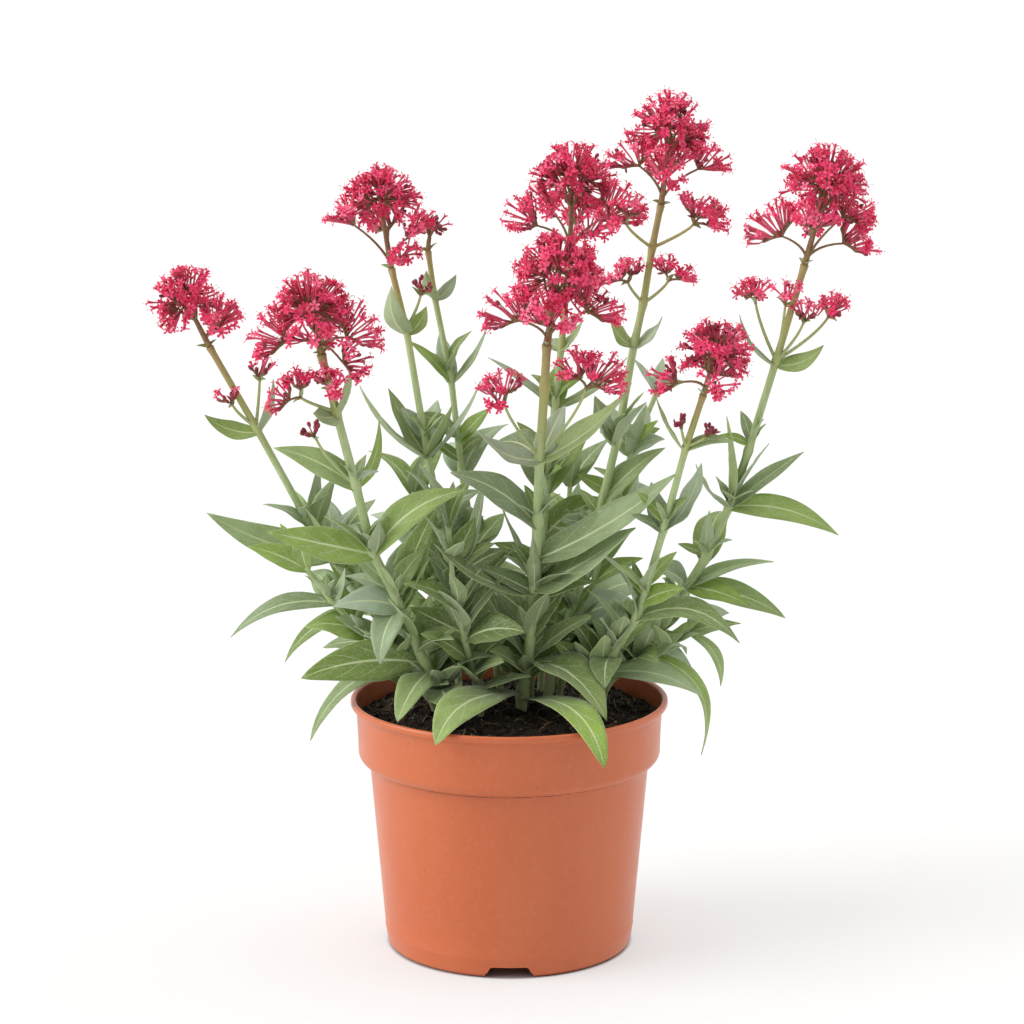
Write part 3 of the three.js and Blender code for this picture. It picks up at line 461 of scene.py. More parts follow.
def put(name, data):
    """A new object in the scene."""
    made = bpy.data.objects.new(name, data)
    bpy.context.scene.collection.objects.link(made)
    return made


class Piece:
    """The points, faces and painted values of one piece. Points are in millimetres."""

    def __init__(self):
        self.points = []
        self.paint = []
        self.faces = []
        self.kinds = []
        self.size = 0

    def add(self, points, faces, kind, tone=0.5, along=0.0, across=0.0, under=0.0):
        points = np.asarray(points, float).reshape(-1, 3)
        paint = (tone, along, across, under)
        values = [np.broadcast_to(np.asarray(value, float), len(points)) for value in paint]
        self.points.append(points)
        self.paint.append(np.stack(values, 1))
        self.faces += shifted(faces, self.size)
        self.kinds += kind if isinstance(kind, list) else [kind] * len(faces)
        self.size += len(points)

    def make(self, name, materials, slot, *nodes):
        mesh = bpy.data.meshes.new(name)
        mesh.from_pydata(np.concatenate(self.points) * MM, [], self.faces)
        paint = np.concatenate(self.paint)
        for i, label in enumerate(("tone", "along", "across", "under")):
            layer = mesh.attributes.new(label, "FLOAT", "POINT")
            layer.data.foreach_set("value", paint[:, i].astype(np.float32))
        mesh.polygons.foreach_set("material_index", self.kinds)
        mesh.shade_smooth()
        for material in materials:
            mesh.materials.append(material)
        made = put(name, mesh)
        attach(made, "root")
        if nodes:
            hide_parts(*nodes)
        return made


def grid_faces(rows, columns, closed=False):
    """The faces of a grid of points, whose rows close on themselves if closed."""
    faces = []
    for row in range(0, (rows - 1) * columns, columns):
        for c in range(columns if closed else columns - 1):
            following = (c + 1) % columns
            faces.append((row + c, row + following, row + columns + following, row + columns + c))
    return faces


def tube(piece, path, radii, sides, kind, **paint):
    """A tube along a path. Its rings don't twist, and each has its own painted value."""
    path = [Vector(p) for p in path]
    across = None
    rings = []
    for i, point in enumerate(path):
        ahead = (path[min(i + 1, len(path) - 1)] - path[max(i - 1, 0)]).normalized()
        if across is None:
            across = square_to(ahead)[0]
        else:
            across = (across - ahead * across.dot(ahead)).normalized()
        other = ahead.cross(across)
        for a in circle(sides):
            rings.append(point + (across * math.cos(a) + other * math.sin(a)) * radii[i])
    faces = grid_faces(len(path), sides, closed=True)
    faces += [tuple(reversed(range(sides))), tuple(range((len(path) - 1) * sides, len(path) * sides))]
    spread = {k: np.repeat(np.broadcast_to(v, len(path)), sides) for k, v in paint.items()}
    piece.add(rings, faces, kind, **spread)


def curve(a, b, c, count):
    """Points on a bow from a to c that b draws towards itself."""
    shares = [i / (count - 1) for i in range(count)]
    return [a * (1 - t) ** 2 + b * 2 * t * (1 - t) + c * t * t for t in shares]


# The stems
STEM = 0


def point_on(stem, place):
    k = min(int(place), len(stem["nodes"]) - 2)
    return Vector(stem["nodes"][k]).lerp(Vector(stem["nodes"][k + 1]), place - k)


def stem_radius(stem, place):
    foot, top = stem["radius"]
    return mixed(foot, top, place / (len(stem["nodes"]) - 1))


def node_of(stem):
    """The name of the stem's node in the part."""
    name = stem["name"]
    return name if name.startswith("shoot") else f"stem_{name}"


def ripeness(stem, place):
    """How olive and red a stem is: not at all up to its last leaves, and fully at the head."""
    if "head" not in stem:
        return 0
    last = len(stem["nodes"]) - 1
    leafy = max(leaf[0] for leaf in stem["leaves"])
    return smooth(leafy - 0.6, last, place)


def stem_of(piece, stem, rng):
    """The stem swells at each bend, where its leaves stand."""
    last = len(stem["nodes"]) - 1
    path, radii, ripe, places = [], [], [], []
    for k in range(last):
        length = (Vector(stem["nodes"][k + 1]) - Vector(stem["nodes"][k])).length
        steps = max(round(length / STEM_STEP), 4)
        for i in range(steps + (k == last - 1)):
            place = k + i / steps
            away = min(i, steps - i) * length / steps
            corner = place if i else k
            swell = NODE_SWELL * math.exp(-((away / NODE_LENGTH) ** 2)) * (0 < round(place) < last + 0.5)
            path.append(point_on(stem, corner))
            radii.append(stem_radius(stem, place) * (1 + swell))
            ripe.append(ripeness(stem, place))
            places.append(1 - min(away / (2 * NODE_LENGTH), 1))
    path = [path[0]] + [(a + b * 2 + c) / 4 for a, b, c in zip(path, path[1:], path[2:])] + [path[-1]]
    tube(piece, path, radii, STEM_SIDES, STEM, tone=rng.uniform(0, 1), along=ripe, across=places)


def stalk_route(stem, cluster):
    """Where a cluster's stalk runs: from the stem, through a bend, to the cluster's foot."""
    where, dx, dy, dz, radius, _ = cluster
    root = point_on(stem, where)
    centre = root + Vector((dx, dy, dz))
    bend = root + Vector((0.62 * dx, 0.62 * dy, 0.44 * dz))
    along = (centre - bend).normalized()
    return root, bend, centre - along * (0.4 * radius + 1), along, centre


def stalks_of(piece, stem, rng):
    for cluster in stem.get("clusters", []):
        root, bend, end, _, _ = stalk_route(stem, cluster)
        ripe = ripeness(stem, cluster[0]) * 0.5
        path = curve(root, root.lerp(bend, 1.15), end, 12)
        radii = [mixed(*STALK_RADIUS, i / 11) for i in range(12)]
        ripening = [ripe + 0.03 * i for i in range(12)]
        tube(piece, path, radii, 8, STEM, tone=rng.uniform(0, 1), along=ripening)


# The leaves
def leaf_shape(s):
    return math.sin(math.pi * (0.05 + 0.95 * s) ** 0.75)


def leaf_tip(stem, leaf, corners):
    """The tip of the leaf as it stands in the part, or None where the part has left it out."""
    where, dx, dy, dz = leaf[:4]
    root = point_on(stem, where - AXIL)
    for turn, lift in SHIFTS:
        reach = Matrix.Rotation(math.radians(turn), 3, "Z") @ Vector((dx, dy, dz + lift))
        tip = root + reach
        if np.abs(corners - np.array(tip)).max(1).min() < FOUND:
            return root, tip
    return root, None


def leaf_of(piece, root, tip, width, arch, roll, peak, low, rng, fresh=0.0):
    chord = tip - root
    along = chord.normalized()
    face = (UP - along * along.z).normalized()
    bend = root + chord * peak + face * 2 * arch
    face.rotate(Quaternion(along, math.radians(roll + LIGHT_TURN * along.x)))
    across = along.cross(face).normalized()
    twist = math.radians(rng.uniform(-TWIST, TWIST))
    sway = rng.uniform(-SWAY, SWAY) * chord.length
    blunt = rng.uniform(*BLUNT["low" if low else "high"])
    waves = rng.uniform(*WAVES["count"])
    phase = rng.uniform(0, FULL_TURN)
    wave = rng.uniform(*WAVES["height"]) * width
    cup = rng.uniform(*CUP)
    fuller = BREADTH if width > FULL_LEAF else 1
    rows = LEAF_ROWS + 1
    upper, lower = [], []
    for row in range(rows):
        s = row / LEAF_ROWS
        rib = root * (1 - s) ** 2 + bend * 2 * s * (1 - s) + tip * s * s
        rib += across * (sway * math.sin(math.pi * s))
        tangent = ((bend - root) * (1 - s) + (tip - bend) * s).normalized()
        side = across.copy()
        side.rotate(Quaternion(tangent, twist * s))
        normal = side.cross(tangent).normalized()
        shape = max(leaf_shape(s), 0) ** blunt * (mixed(0.35, 1, smooth(0, 0.4, s)) if low else 1)
        half = width / 2 * shape * fuller + 0.12
        for c in LEAF_COLUMNS:
            edge = abs(c)
            rise = LEAF_FOLD * cup * half * edge ** 1.35
            crest = phase + FULL_TURN * waves * s + (1.7 if c > 0 else 0)
            rise += wave * edge ** 2 * math.sin(crest) * shape
            vein = math.cos(math.tau * (VEINS * s - VEIN_SLANT * edge))
            rise += VEIN_RELIEF * half * vein * edge * (1 - edge) * 4
            keel = MIDRIB * (1 - s) * (edge < 0.1)
            place = rib + side * (half * c)
            upper.append(place + normal * (rise + LEAF_SHEET * (1 - 0.6 * edge) - 0.35 * keel))
            lower.append(place + normal * (rise - LEAF_SHEET * (1 - 0.6 * edge) - keel))
    columns = len(LEAF_COLUMNS)
    count = rows * columns
    top = grid_faces(rows, columns)
    faces = top + shifted([f[::-1] for f in top], count)
    border = list(range(columns))
    border += [r * columns + columns - 1 for r in range(1, rows)]
    border += [(rows - 1) * columns + c for c in range(columns - 2, -1, -1)]
    border += [r * columns for r in range(rows - 2, 0, -1)]
    faces += [(b, a, a + count, b + count) for a, b in zip(border, border[1:] + border[:1])]
    s = np.tile(np.repeat(np.arange(rows) / LEAF_ROWS, columns), 2)
    c = np.tile(LEAF_COLUMNS, 2 * rows)
    under = np.repeat([0.0, 1.0], count)
    piece.add(upper + lower, faces, 0, tone=leaf_tone(low, fresh, rng), along=s, across=c, under=under)


def leaf_tone(low, fresh, rng):
    """Most leaves are blue-green. Some low and most young ones are a fresh green."""
    usual = rng.normal(*TONES["blue" if rng.uniform() < TONES["share"] else "green"])
    return clamped(usual + (0.08 if low else 0) + fresh)


def leaves_of(piece, stem, rng):
    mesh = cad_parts[node_of(stem)].data
    corners = np.empty(len(mesh.vertices) * 3)
    mesh.vertices.foreach_get("co", corners)
    corners = corners.reshape(-1, 3) / MM
    for leaf in stem["leaves"]:
        where, _, _, _, width, arch, roll, *more = leaf
        root, tip = leaf_tip(stem, leaf, corners)
        if tip is not None:
            peak = more[0] if more else 0.5
            fresh = 0.6 if where < 1 else 0
            leaf_of(piece, root, tip, width, arch, roll, peak, where < LOW_LEAF, rng, fresh)
    young_leaves_of(piece, stem, rng)
    bracts_of(piece, stem, rng)


def young_leaves_of(piece, stem, rng):
    """Young leaves in the angles of the stem's leaves, larger and more of them towards the foot."""
    leafy = max(leaf[0] for leaf in stem["leaves"])
    top = int(min(leafy, len(stem["nodes"]) - 2))
    for k in range(1, top + ("head" not in stem)):
        low = 1 - smooth(1, 5, k)
        start = rng.uniform(0, math.tau)
        count = round(mixed(YOUNG_LEAVES["upper"], YOUNG_LEAVES["lower"], low))
        for i in range(count):
            root = point_on(stem, k + rng.uniform(0, 0.12) + (rng.uniform(0, 0.6) * low))
            a = start + math.tau * (i + rng.uniform(-0.3, 0.3)) / count
            length = rng.uniform(0.6, 1) * mixed(*YOUNG_LENGTH, low)
            lift = rng.uniform(*YOUNG_LIFT)
            way = Vector((*spot(1, a), lift)).normalized()
            tip = root + way * length
            if math.hypot(tip.x, tip.y) > YOUNG_REACH and tip.z < POT_HEIGHT + 8:
                continue
            width = length * rng.uniform(*YOUNG_WIDTH)
            arch = length * rng.uniform(*YOUNG_ARCH)
            roll = rng.uniform(-25, 25)
            leaf_of(piece, root, tip, width, arch, roll, 0.5, k < 2, rng, fresh=rng.uniform(-0.1, 0.55))


def bracts_of(piece, stem, rng):
    """Two narrow bracts under each fork of the flower stalks."""
    if "head" not in stem:
        return
    foot = Vector(stem["nodes"][-1])
    forks = [(foot, (foot - Vector(stem["nodes"][-2])).normalized())]
    forks += [(end, along) for _, _, end, along, _ in (stalk_route(stem, c) for c in stem["clusters"])]
    for root, along in forks:
        out = sideways(along, rng.uniform(0, math.pi))
        for way in (-1, 1):
            direction = (out * way + along * rng.uniform(0.2, 0.8)).normalized()
            tip = root + direction * rng.uniform(*BRACT["length"])
            leaf_of(piece, root, tip, BRACT["width"], BRACT["arch"], 0, 0.5, False, rng, fresh=0.25)


# The flowers
PETAL, THROAT, TWIG, BUD, ANTHER = range(5)


class Form:
    """A floret or bud that stands on +Z. A point's height is its own z plus its share of the length."""

    def __init__(self):
        self.rows = []
        self.faces = []
        self.kinds = []

    def join(self, kind, rows, columns, closed):
        """Faces over the last points, which stand in rows."""
        faces = grid_faces(rows, columns, closed)
        self.faces += shifted(faces, len(self.rows) - rows * columns)
        self.kinds += [kind] * len(faces)

    def skin(self, kind, sides, rings):
        """A skin over rings, each with its share, z, radius and painted value."""
        for share, z, radius, along in rings:
            self.rows += [(*spot(radius, a), z, share, along, 0) for a in circle(sides)]
        self.join(kind, len(rings), sides, True)

    def lobe(self, angle, length, width, droop, lean):
        """One petal: a blunt strip from the throat that may lean forward, hollow along its middle."""
        cos, sin = math.cos(angle), math.sin(angle)
        for r, half, z in ((0.12, 0.55, -0.1), (0.5, 0.8, 0.15), (0.82, 1, 0.1), (1, 0.55, -0.25)):
            for c in (-1, 0, 1):
                x, y = r * length, c * half * width / 2
                height = z * droop + lean * x - (0.12 if c == 0 else 0) * half
                self.rows.append((x * cos - y * sin, x * sin + y * cos, height, 1, 1, r))
        self.join(PETAL, 4, 3, False)

    def ready(self):
        rows = np.array(self.rows)
        return rows[:, :3], rows[:, 3], rows[:, 4], rows[:, 5], self.faces, self.kinds


OVARY = [(0, 0, 0.25, 0), (0, 0.9, 0.6, 0), (0, 2, 0.34, 0.1)]


def floret_form(rng):
    form = Form()
    form.skin(THROAT, 5, [*OVARY, (0.4, 0, 0.42, 0.4), (0.8, 0, 0.5, 0.8), (1, 0, 0.8, 1)])
    turn = rng.uniform(0, FULL_TURN)
    for k in range(5):
        angle = turn + math.tau * (k + rng.uniform(-0.12, 0.12)) / 5
        ranges = (PETAL_LENGTH, PETAL_WIDTH, PETAL_DROOP, PETAL_LEAN)
        form.lobe(angle, *(rng.uniform(*ends) for ends in ranges))
    if rng.uniform() < WITH_STAMEN:
        lean = rng.uniform(-1, 1, 2)
        start = len(form.rows)
        form.skin(THROAT, 3, [(0.9, 0, 0.1, 1), (1, STAMEN, 0.08, 1)])
        rings = ((-0.2, 0.08), (0.1, 0.2), (0.45, 0.08))
        form.skin(ANTHER, 4, [(1, STAMEN + z, radius, 1) for z, radius in rings])
        for i in range(start + 3, len(form.rows)):
            x, y, *others = form.rows[i]
            form.rows[i] = (x + lean[0], y + lean[1], *others)
    return form.ready()


def bud_form(rng):
    """A closed flower: a thin tube that ends in a blunt club."""
    form = Form()
    fat = rng.uniform(0.75, 1.0)
    form.skin(THROAT, 5, [*OVARY, (0.7, 0, 0.36, 0.5)])
    club = [(-2.9, 0.34, 0.2), (-2.0, 0.85 * fat, 0.5), (-1.0, fat, 0.8)]
    club += [(-0.3, 0.7 * fat, 1), (0, 0.15, 1)]
    form.skin(BUD, 6, [(0.7, 0, 0.36, 0), *((1, *ring) for ring in club)])
    return form.ready()


def grain_form():
    """A bud that has just formed, like a small grain."""
    form = Form()
    form.skin(BUD, 5, [(0, 0, 0.3, 0), (0.35, 0, 0.62, 0.2), (0.75, 0, 0.5, 0.5), (1, 0, 0.12, 0.6)])
    return form.ready()


def stand(piece, form, root, direction, length, tone, rng, scale=1.0):
    """Sets a copy of the form on a root. Its tube bows a little on the way."""
    local, share, along, across, faces, kinds = form
    first, second = square_to(direction)
    spin = rng.uniform(0, math.tau)
    bow = rng.uniform(-0.7, 0.7, 2)
    x = local[:, 0] * math.cos(spin) - local[:, 1] * math.sin(spin)
    y = local[:, 0] * math.sin(spin) + local[:, 1] * math.cos(spin)
    sway = share * (1 - share) * 4
    x = x * scale + sway * bow[0]
    y = y * scale + sway * bow[1]
    z = local[:, 2] * scale + share * length
    points = np.array(root) + np.outer(x, first) + np.outer(y, second) + np.outer(z, direction)
    piece.add(points, faces, kinds, tone, along, across)


def cyme(piece, forms, start, lead, centre, axis, radius, count, buds, rng, tone):
    """A small spray: a twig that forks in two arms, and florets on them that end on a ball."""
    knot = centre - axis * (0.24 * radius)
    bend = start + lead * (0.45 * (knot - start).length)
    tube(piece, curve(start, bend, knot, 7), np.linspace(*TWIG_RADIUS, 7), 5, TWIG, along=0.3)
    side = sideways(axis, rng.uniform(0, math.pi))
    other = axis.cross(side)

    def picked(kind):
        return forms[kind][rng.integers(len(forms[kind]))]

    def on_arm(way, u):
        lift = 0.3 * u - 0.12 * u * u
        return knot + side * (way * ARM_REACH * radius * u) + axis * (lift * radius)

    for way in (-1, 1):
        path = [on_arm(way, i / 6) for i in range(7)]
        tube(piece, path, np.linspace(TWIG_RADIUS[1], 0.3, 7), 5, TWIG, along=0.6)
    for i in range(count):
        way = 1 if i % 2 else -1
        u = (i // 2 + 0.5) / math.ceil(count / 2)
        root = on_arm(way, u)
        splay = other * rng.uniform(-SPLAY["across"], SPLAY["across"])
        aside = side * (way * (SPLAY["first"] + SPLAY["last"] * u))
        direction = (axis + aside + splay * (1 - 0.3 * u)).normalized()
        offset = root - centre
        ahead = direction.dot(offset)
        reach = -ahead + math.sqrt(max(ahead * ahead - offset.length_squared + radius * radius, 1))
        is_bud = rng.uniform() < buds + 0.45 * smooth(0.75, 1, u)
        shade = clamped(tone + rng.normal(0, SHADES))
        if is_bud:
            form = picked("bud")
            stand(piece, form, root, direction, reach * rng.uniform(0.6, 0.95), shade, rng)
        else:
            form = picked("floret")
            length = reach * (1.05 - SHORTEST * rng.uniform() ** 1.6)
            stand(piece, form, root, direction, length, shade, rng, rng.uniform(0.85, 1.1))
    for _ in range(GRAINS):
        root = on_arm(rng.choice((-1, 1)), rng.uniform(0, 0.9))
        direction = (axis + Vector(rng.normal(0, 0.5, 3))).normalized()
        form = picked("grain")
        stand(piece, form, root, direction, rng.uniform(1.8, 4.5), rng.uniform(0, 1), rng)


def flower_forms(rng):
    return {
        "floret": [floret_form(rng) for _ in range(10)],
        "bud": [bud_form(rng) for _ in range(4)],
        "grain": [grain_form() for _ in range(3)],
    }


def dome_places(axis, rings, rng):
    """Directions over a dome: its axis, then rings round it, each an angle from the axis and how many."""
    found = [(axis, 0)]
    for angle, count, shift in rings:
        for k in range(count):
            a = math.tau * (k + shift + rng.uniform(-0.16, 0.16)) / count
            tilt = angle + rng.uniform(-0.13, 0.13)
            found.append((axis * math.cos(tilt) + sideways(axis, a) * math.sin(tilt), angle))
    return found


def head_of(piece, stem, forms, rng):
    head = stem["head"]
    foot = Vector(stem["nodes"][-1])
    rise = (foot - Vector(stem["nodes"][-2])).normalized()
    buds = head.get("buds", BUD_SHARE)
    *offset, radius = head["dome"]
    top = foot + Vector(offset)
    axis = (top - foot).normalized()
    fork = foot + rise * FORK
    crown = top - axis * (0.3 * radius)
    trunk = curve(foot, fork.lerp(crown, 0.3), crown, 10)
    tube(piece, trunk, np.linspace(stem["radius"][1], 1.0, 10), 8, TWIG, along=np.linspace(0, 0.4, 10))
    rings = DOME_RINGS if radius > LARGE_DOME else SMALL_DOME_RINGS
    for direction, angle in dome_places(axis, rings, rng):
        centre = top + direction * (SPRAY_OFFSET * radius)
        start = crown - axis * (0.25 * radius * (angle > 1.2))
        lead = (axis + direction).normalized()
        size = SPRAY_SIZE * radius * rng.uniform(0.86, 1.1)
        count = round(DOME_FLORETS * radius * radius)
        cyme(piece, forms, start, lead, centre, direction, size, count, buds, rng, 0.45)
    for fan in head["fans"]:
        *offset, size = fan
        centre = foot + Vector(offset)
        outward = centre - foot
        outward.z = 0.5 * outward.z + 0.35 * outward.length
        outward.normalize()
        size *= FAN_SIZE
        lead = (rise + outward).normalized()
        cyme(piece, forms, fork, lead, centre, outward, size, round(FAN_FLORETS * size), buds, rng, 0.6)


def cluster_of(piece, stem, cluster, forms, rng):
    _, dx, dy, dz, radius, buds = cluster
    _, _, end, along, centre = stalk_route(stem, cluster)
    radius *= CLUSTER_SIZE
    axis = Vector((0.6 * dx, 0.6 * dy, abs(dz) + 6)).normalized()
    if radius < CLUSTER_PARTS[0]:
        count = max(round(1.2 * radius), 5)
        cyme(piece, forms, end, along, centre, axis, radius, count, buds, rng, 0.6)
        return
    parts = 2 if radius < CLUSTER_PARTS[1] else 3
    turn = rng.uniform(0, math.pi)
    for a in circle(parts):
        away = sideways(axis, turn + a)
        part = (axis + away * 0.55).normalized()
        place = centre + away * (0.38 * radius)
        lead = (along + away * 0.4).normalized()
        cyme(piece, forms, end, lead, place, part, 0.75 * radius, round(1.35 * radius), buds, rng, 0.65)


# The pot and the soil
def pot_side(z):
    return BASE_RADIUS + (BODY_TOP_RADIUS - BASE_RADIUS) * z / BODY_TOP


def arc(centre, radius, start, end, steps):
    """Points round a circle in the profile's plane, angles in degrees."""
    angles = [math.radians(mixed(start, end, i / steps)) for i in range(steps + 1)]
    return [(centre[0] + radius * math.cos(a), centre[1] + radius * math.sin(a)) for a in angles]


def pot_profile():
    """Radius and height, from the middle of the floor up the inside, over the lip and down the outside."""
    rim = RIM_RADIUS
    lip = POT_HEIGHT - 1.2
    inside = [(0, FLOOR_HEIGHT), (30, FLOOR_HEIGHT), (pot_side(FLOOR_HEIGHT) - WALL - 3, FLOOR_HEIGHT)]
    inside += arc((pot_side(11) - WALL - 3, FLOOR_HEIGHT + 3), 3, -90, 0, 5)
    inside += [(pot_side(z) - WALL, z) for z in (25, 50, 75, BODY_TOP)]
    inside += [(BORE["collar"] - 0.6, COLLAR), (BORE["collar"], COLLAR + 2), (BORE["rim"], lip)]
    top = arc((rim - 1.3, lip), 1.2, 180, 90, 4) + arc((rim - 1.1, lip), 1.2, 80, 0, 4)
    collar = [(rim + 0.1, lip - 1.2), (rim - 0.3, lip - 2.0), (rim - 1.6, lip - 2.7)]
    collar += [(rim - 2.3, lip - 3.3), (rim - 2.6, lip - 4.5), (rim - 3.2, COLLAR + 10)]
    low, round_off = UNDER_CURVE["foot"], UNDER_CURVE["radius"]
    collar += arc((BODY_TOP_RADIUS + 0.6, low + round_off), round_off, 4, -84, 10)
    step = [(pot_side(low) + 0.3, low - 0.2), (pot_side(low - 1), low - 1)]
    body = [(pot_side(z), z) for z in (80, 60, 40, 20, 9.9)]
    body += [(pot_side(z) + out, z) for z, out in ((9.6, 0.16), (9, 0.2), (8.4, 0.05), (5, 0))]
    foot = arc((BASE_RADIUS - 3.1, 3.2), 3.2, 0, -70, 7)
    ring = [(BASE_RADIUS - 0.8 - FOOT_RING, 0), (BASE_RADIUS - 1.4 - FOOT_RING, 0.5)]
    under = [(BASE_RADIUS - 1.6 - FOOT_RING, FLOOR_HEIGHT - WALL), (0, FLOOR_HEIGHT - WALL)]
    return inside + top + collar + step + body + foot + ring + under


def inner_shade_of(profile):
    """How much painted shade each point of the profile gets: the inside above the soil, and nothing else."""
    heights = [z for _, z in profile]
    inner = heights.index(max(heights)) - 3
    shaded = [smooth(-POT_HEIGHT, -SOIL_EDGE - 1, -z) for z in heights[:inner]]
    return shaded + [0] * (len(heights) - inner)


def notch_height(x, y):
    """How far the foot ring is cut away over a place on it."""
    a = math.atan2(y, x)
    part = math.tau / NOTCH["count"]
    off = (a + math.pi / 2 + part / 2) % part - part / 2
    aside = abs(math.hypot(x, y) * math.sin(off))
    slope = (NOTCH["bottom"] - NOTCH["top"]) / 2
    return NOTCH["height"] * smooth(-0.12, 1.12, (NOTCH["bottom"] / 2 - aside) / slope)


def make_pot(materials):
    pot = Piece()
    profile = pot_profile()
    rows = []
    for radius, z in profile:
        on_foot = radius > BASE_RADIUS - 4.5 and z < NOTCH["height"]
        for x, y in (spot(radius, a) for a in circle(POT_SIDES)):
            rows.append((x, y, max(z, notch_height(x, y)) if on_foot else z))
    faces = [tuple(reversed(f)) for f in grid_faces(len(profile), POT_SIDES, closed=True)]
    pot.add(rows, faces, 0, tone=np.repeat(inner_shade_of(profile), POT_SIDES))
    made = pot.make("nursery_pot", materials, "pot", "pot")
    cutters = [drain_cutter(i) for i in range(DRAIN["count"])]
    for cutter in cutters:
        cut = made.modifiers.new("drain", "BOOLEAN")
        cut.object = cutter
        cut.solver = "EXACT"
        bpy.context.view_layer.objects.active = made
        bpy.ops.object.modifier_apply(modifier=cut.name)
        bpy.data.objects.remove(cutter)
    made.data.set_sharp_from_angle(angle=math.radians(38))
    return made


def drain_cutter(i):
    a = math.tau * (i + 0.5) / DRAIN["count"]
    place = Vector((*spot(DRAIN["ring"], a), FLOOR_HEIGHT - WALL / 2))
    cutter = Piece()
    tube(cutter, [place - UP * 4, place + UP * 4], [DRAIN["radius"]] * 2, 40, 0)
    mesh = bpy.data.meshes.new("drain")
    mesh.from_pydata(np.concatenate(cutter.points) * MM, [], cutter.faces)
    return put("drain", mesh)


def soil_height(x, y):
    r = math.hypot(x, y) / RIM_RADIUS
    lump = SOIL_LUMP * math.sin(x * 0.31 + 1) * math.cos(y * 0.27 + x * 0.09)
    clod = noise.fractal(Vector((x, y, 3)) * 0.14, 0.8, 2.2, 4) * 1.1
    return SOIL_EDGE + SOIL_CROWN * (1 - r * r) + lump + clod


def pebble(piece, centre, size, kind, rng, tone):
    """A small uneven lump: a ball of a few faces with its corners moved about."""
    points = []
    for z, r in ((-0.9, 0.35), (-0.35, 0.95), (0.4, 0.9), (0.9, 0.3)):
        for k in range(5):
            corner = (*spot(r, math.tau * (k + z) / 5), z)
            points.append(np.array(corner) * rng.uniform(0.65, 1.15))
    stretch = rng.uniform(0.6, 1.3, 3)
    pole = Vector(rng.normal(0, 1, 3)).normalized()
    turn = np.array(Quaternion(pole, rng.uniform(0, FULL_TURN)).to_matrix())
    faces = grid_faces(4, 5, closed=True) + [(4, 3, 2, 1, 0), (15, 16, 17, 18, 19)]
    lump = np.array(points) * stretch * size / 2
    piece.add(lump @ turn.T + np.array(centre), faces, kind, tone=tone)


def make_soil(materials, rng):
    soil = Piece()
    rings, sides = 70, 220
    edge = BORE["collar"] + 0.9
    turns = circle(sides)
    rows = []
    for r in range(rings + 1):
        for x, y in (spot(edge * (r / rings) + 0.01, a) for a in turns):
            rows.append((x, y, soil_height(x, y)))
    low, bottom = pot_side(BODY_TOP) - 2.2, pot_side(9) - 2.2
    for radius, z in ((edge - 0.4, COLLAR + 3), (low, BODY_TOP), (bottom, FLOOR_HEIGHT + 0.4)):
        rows += [(*spot(radius, a), z) for a in turns]
    soil.add(rows, grid_faces(rings + 4, sides, closed=True), 0, tone=0.3)
    for _ in range(CRUMBS):
        x, y = spot(edge * math.sqrt(rng.uniform()) * 0.99, rng.uniform(0, FULL_TURN))
        size = rng.uniform(0.7, 1.6) if rng.uniform() < 0.85 else rng.uniform(1.6, 3.2)
        pebble(soil, (x, y, soil_height(x, y) + 0.2 * size), size, 0, rng, rng.uniform(0, 1))
    for _ in range(PERLITE):
        x, y = spot(edge * rng.uniform(0.3, 0.99), rng.uniform(0, FULL_TURN))
        size = rng.uniform(0.5, 1.3)
        pebble(soil, (x, y, soil_height(x, y) + 0.4 * size), size, 1, rng, rng.uniform(0, 1))
    for _ in range(FIBRES):
        x, y = spot(edge * math.sqrt(rng.uniform()) * 0.93, rng.uniform(0, FULL_TURN))
        fibre(soil, x, y, rng.uniform(4, 13), rng.uniform(0.12, 0.32), rng)
    return soil.make("potting_soil", materials, "soil", "soil")


def fibre(soil, x, y, length, radius, rng):
    """A bit of root or bark that lies bowed on the soil."""
    a = rng.uniform(0, FULL_TURN)
    way = Vector((*spot(1, a), 0))
    bow = Vector((-way.y, way.x, 0)) * rng.uniform(-0.35, 0.35) * length
    path = []
    for t in (0, 0.2, 0.4, 0.6, 0.8, 1):
        place = Vector((x, y, 0)) + way * ((t - 0.5) * length) + bow * math.sin(math.pi * t)
        lift = 0.5 + rng.uniform(0.0, 1.2) * math.sin(math.pi * t)
        reach = min(1, (BORE["collar"] - 1) / max(math.hypot(place.x, place.y), 1))
        place = Vector((place.x * reach, place.y * reach, 0))
        path.append(place + UP * (soil_height(place.x, place.y) + lift))
    radii = [radius * share for share in (0.5, 1, 1, 1, 1, 0.4)]
    tube(soil, path, radii, 5, 2, tone=rng.uniform(0, 1))


# Materials
class Nodes:
    """Short calls for the nodes of a material or of the world."""

    def __init__(self, owner):
        owner.use_nodes = True
        self.tree = owner.node_tree

    def add(self, kind, inputs=None, **settings):
        made = self.tree.nodes.new(kind)
        for key, value in settings.items():
            setattr(made, key, value)
        for socket, value in (inputs or {}).items():
            self.set(made.inputs[socket], value)
        return made

    def set(self, socket, value):
        if isinstance(value, bpy.types.NodeSocket):
            self.tree.links.new(value, socket)
        else:
            socket.default_value = (*value, 1) if socket.type == "RGBA" else value

    def maths(self, operation, a, b=0.0, c=0.0):
        return self.add("ShaderNodeMath", {0: a, 1: b, 2: c}, operation=operation).outputs[0]

    def times(self, a, b):
        return self.maths("MULTIPLY", a, b)

    def plus(self, a, b):
        return self.maths("ADD", a, b)

    def place(self, kind="Object"):
        return self.add("ShaderNodeTexCoord").outputs[kind]

    def ranged(self, value, low, high, start, end):
        inputs = {"Value": value, "From Min": low, "From Max": high, "To Min": start, "To Max": end}
        return self.add("ShaderNodeMapRange", inputs).outputs[0]


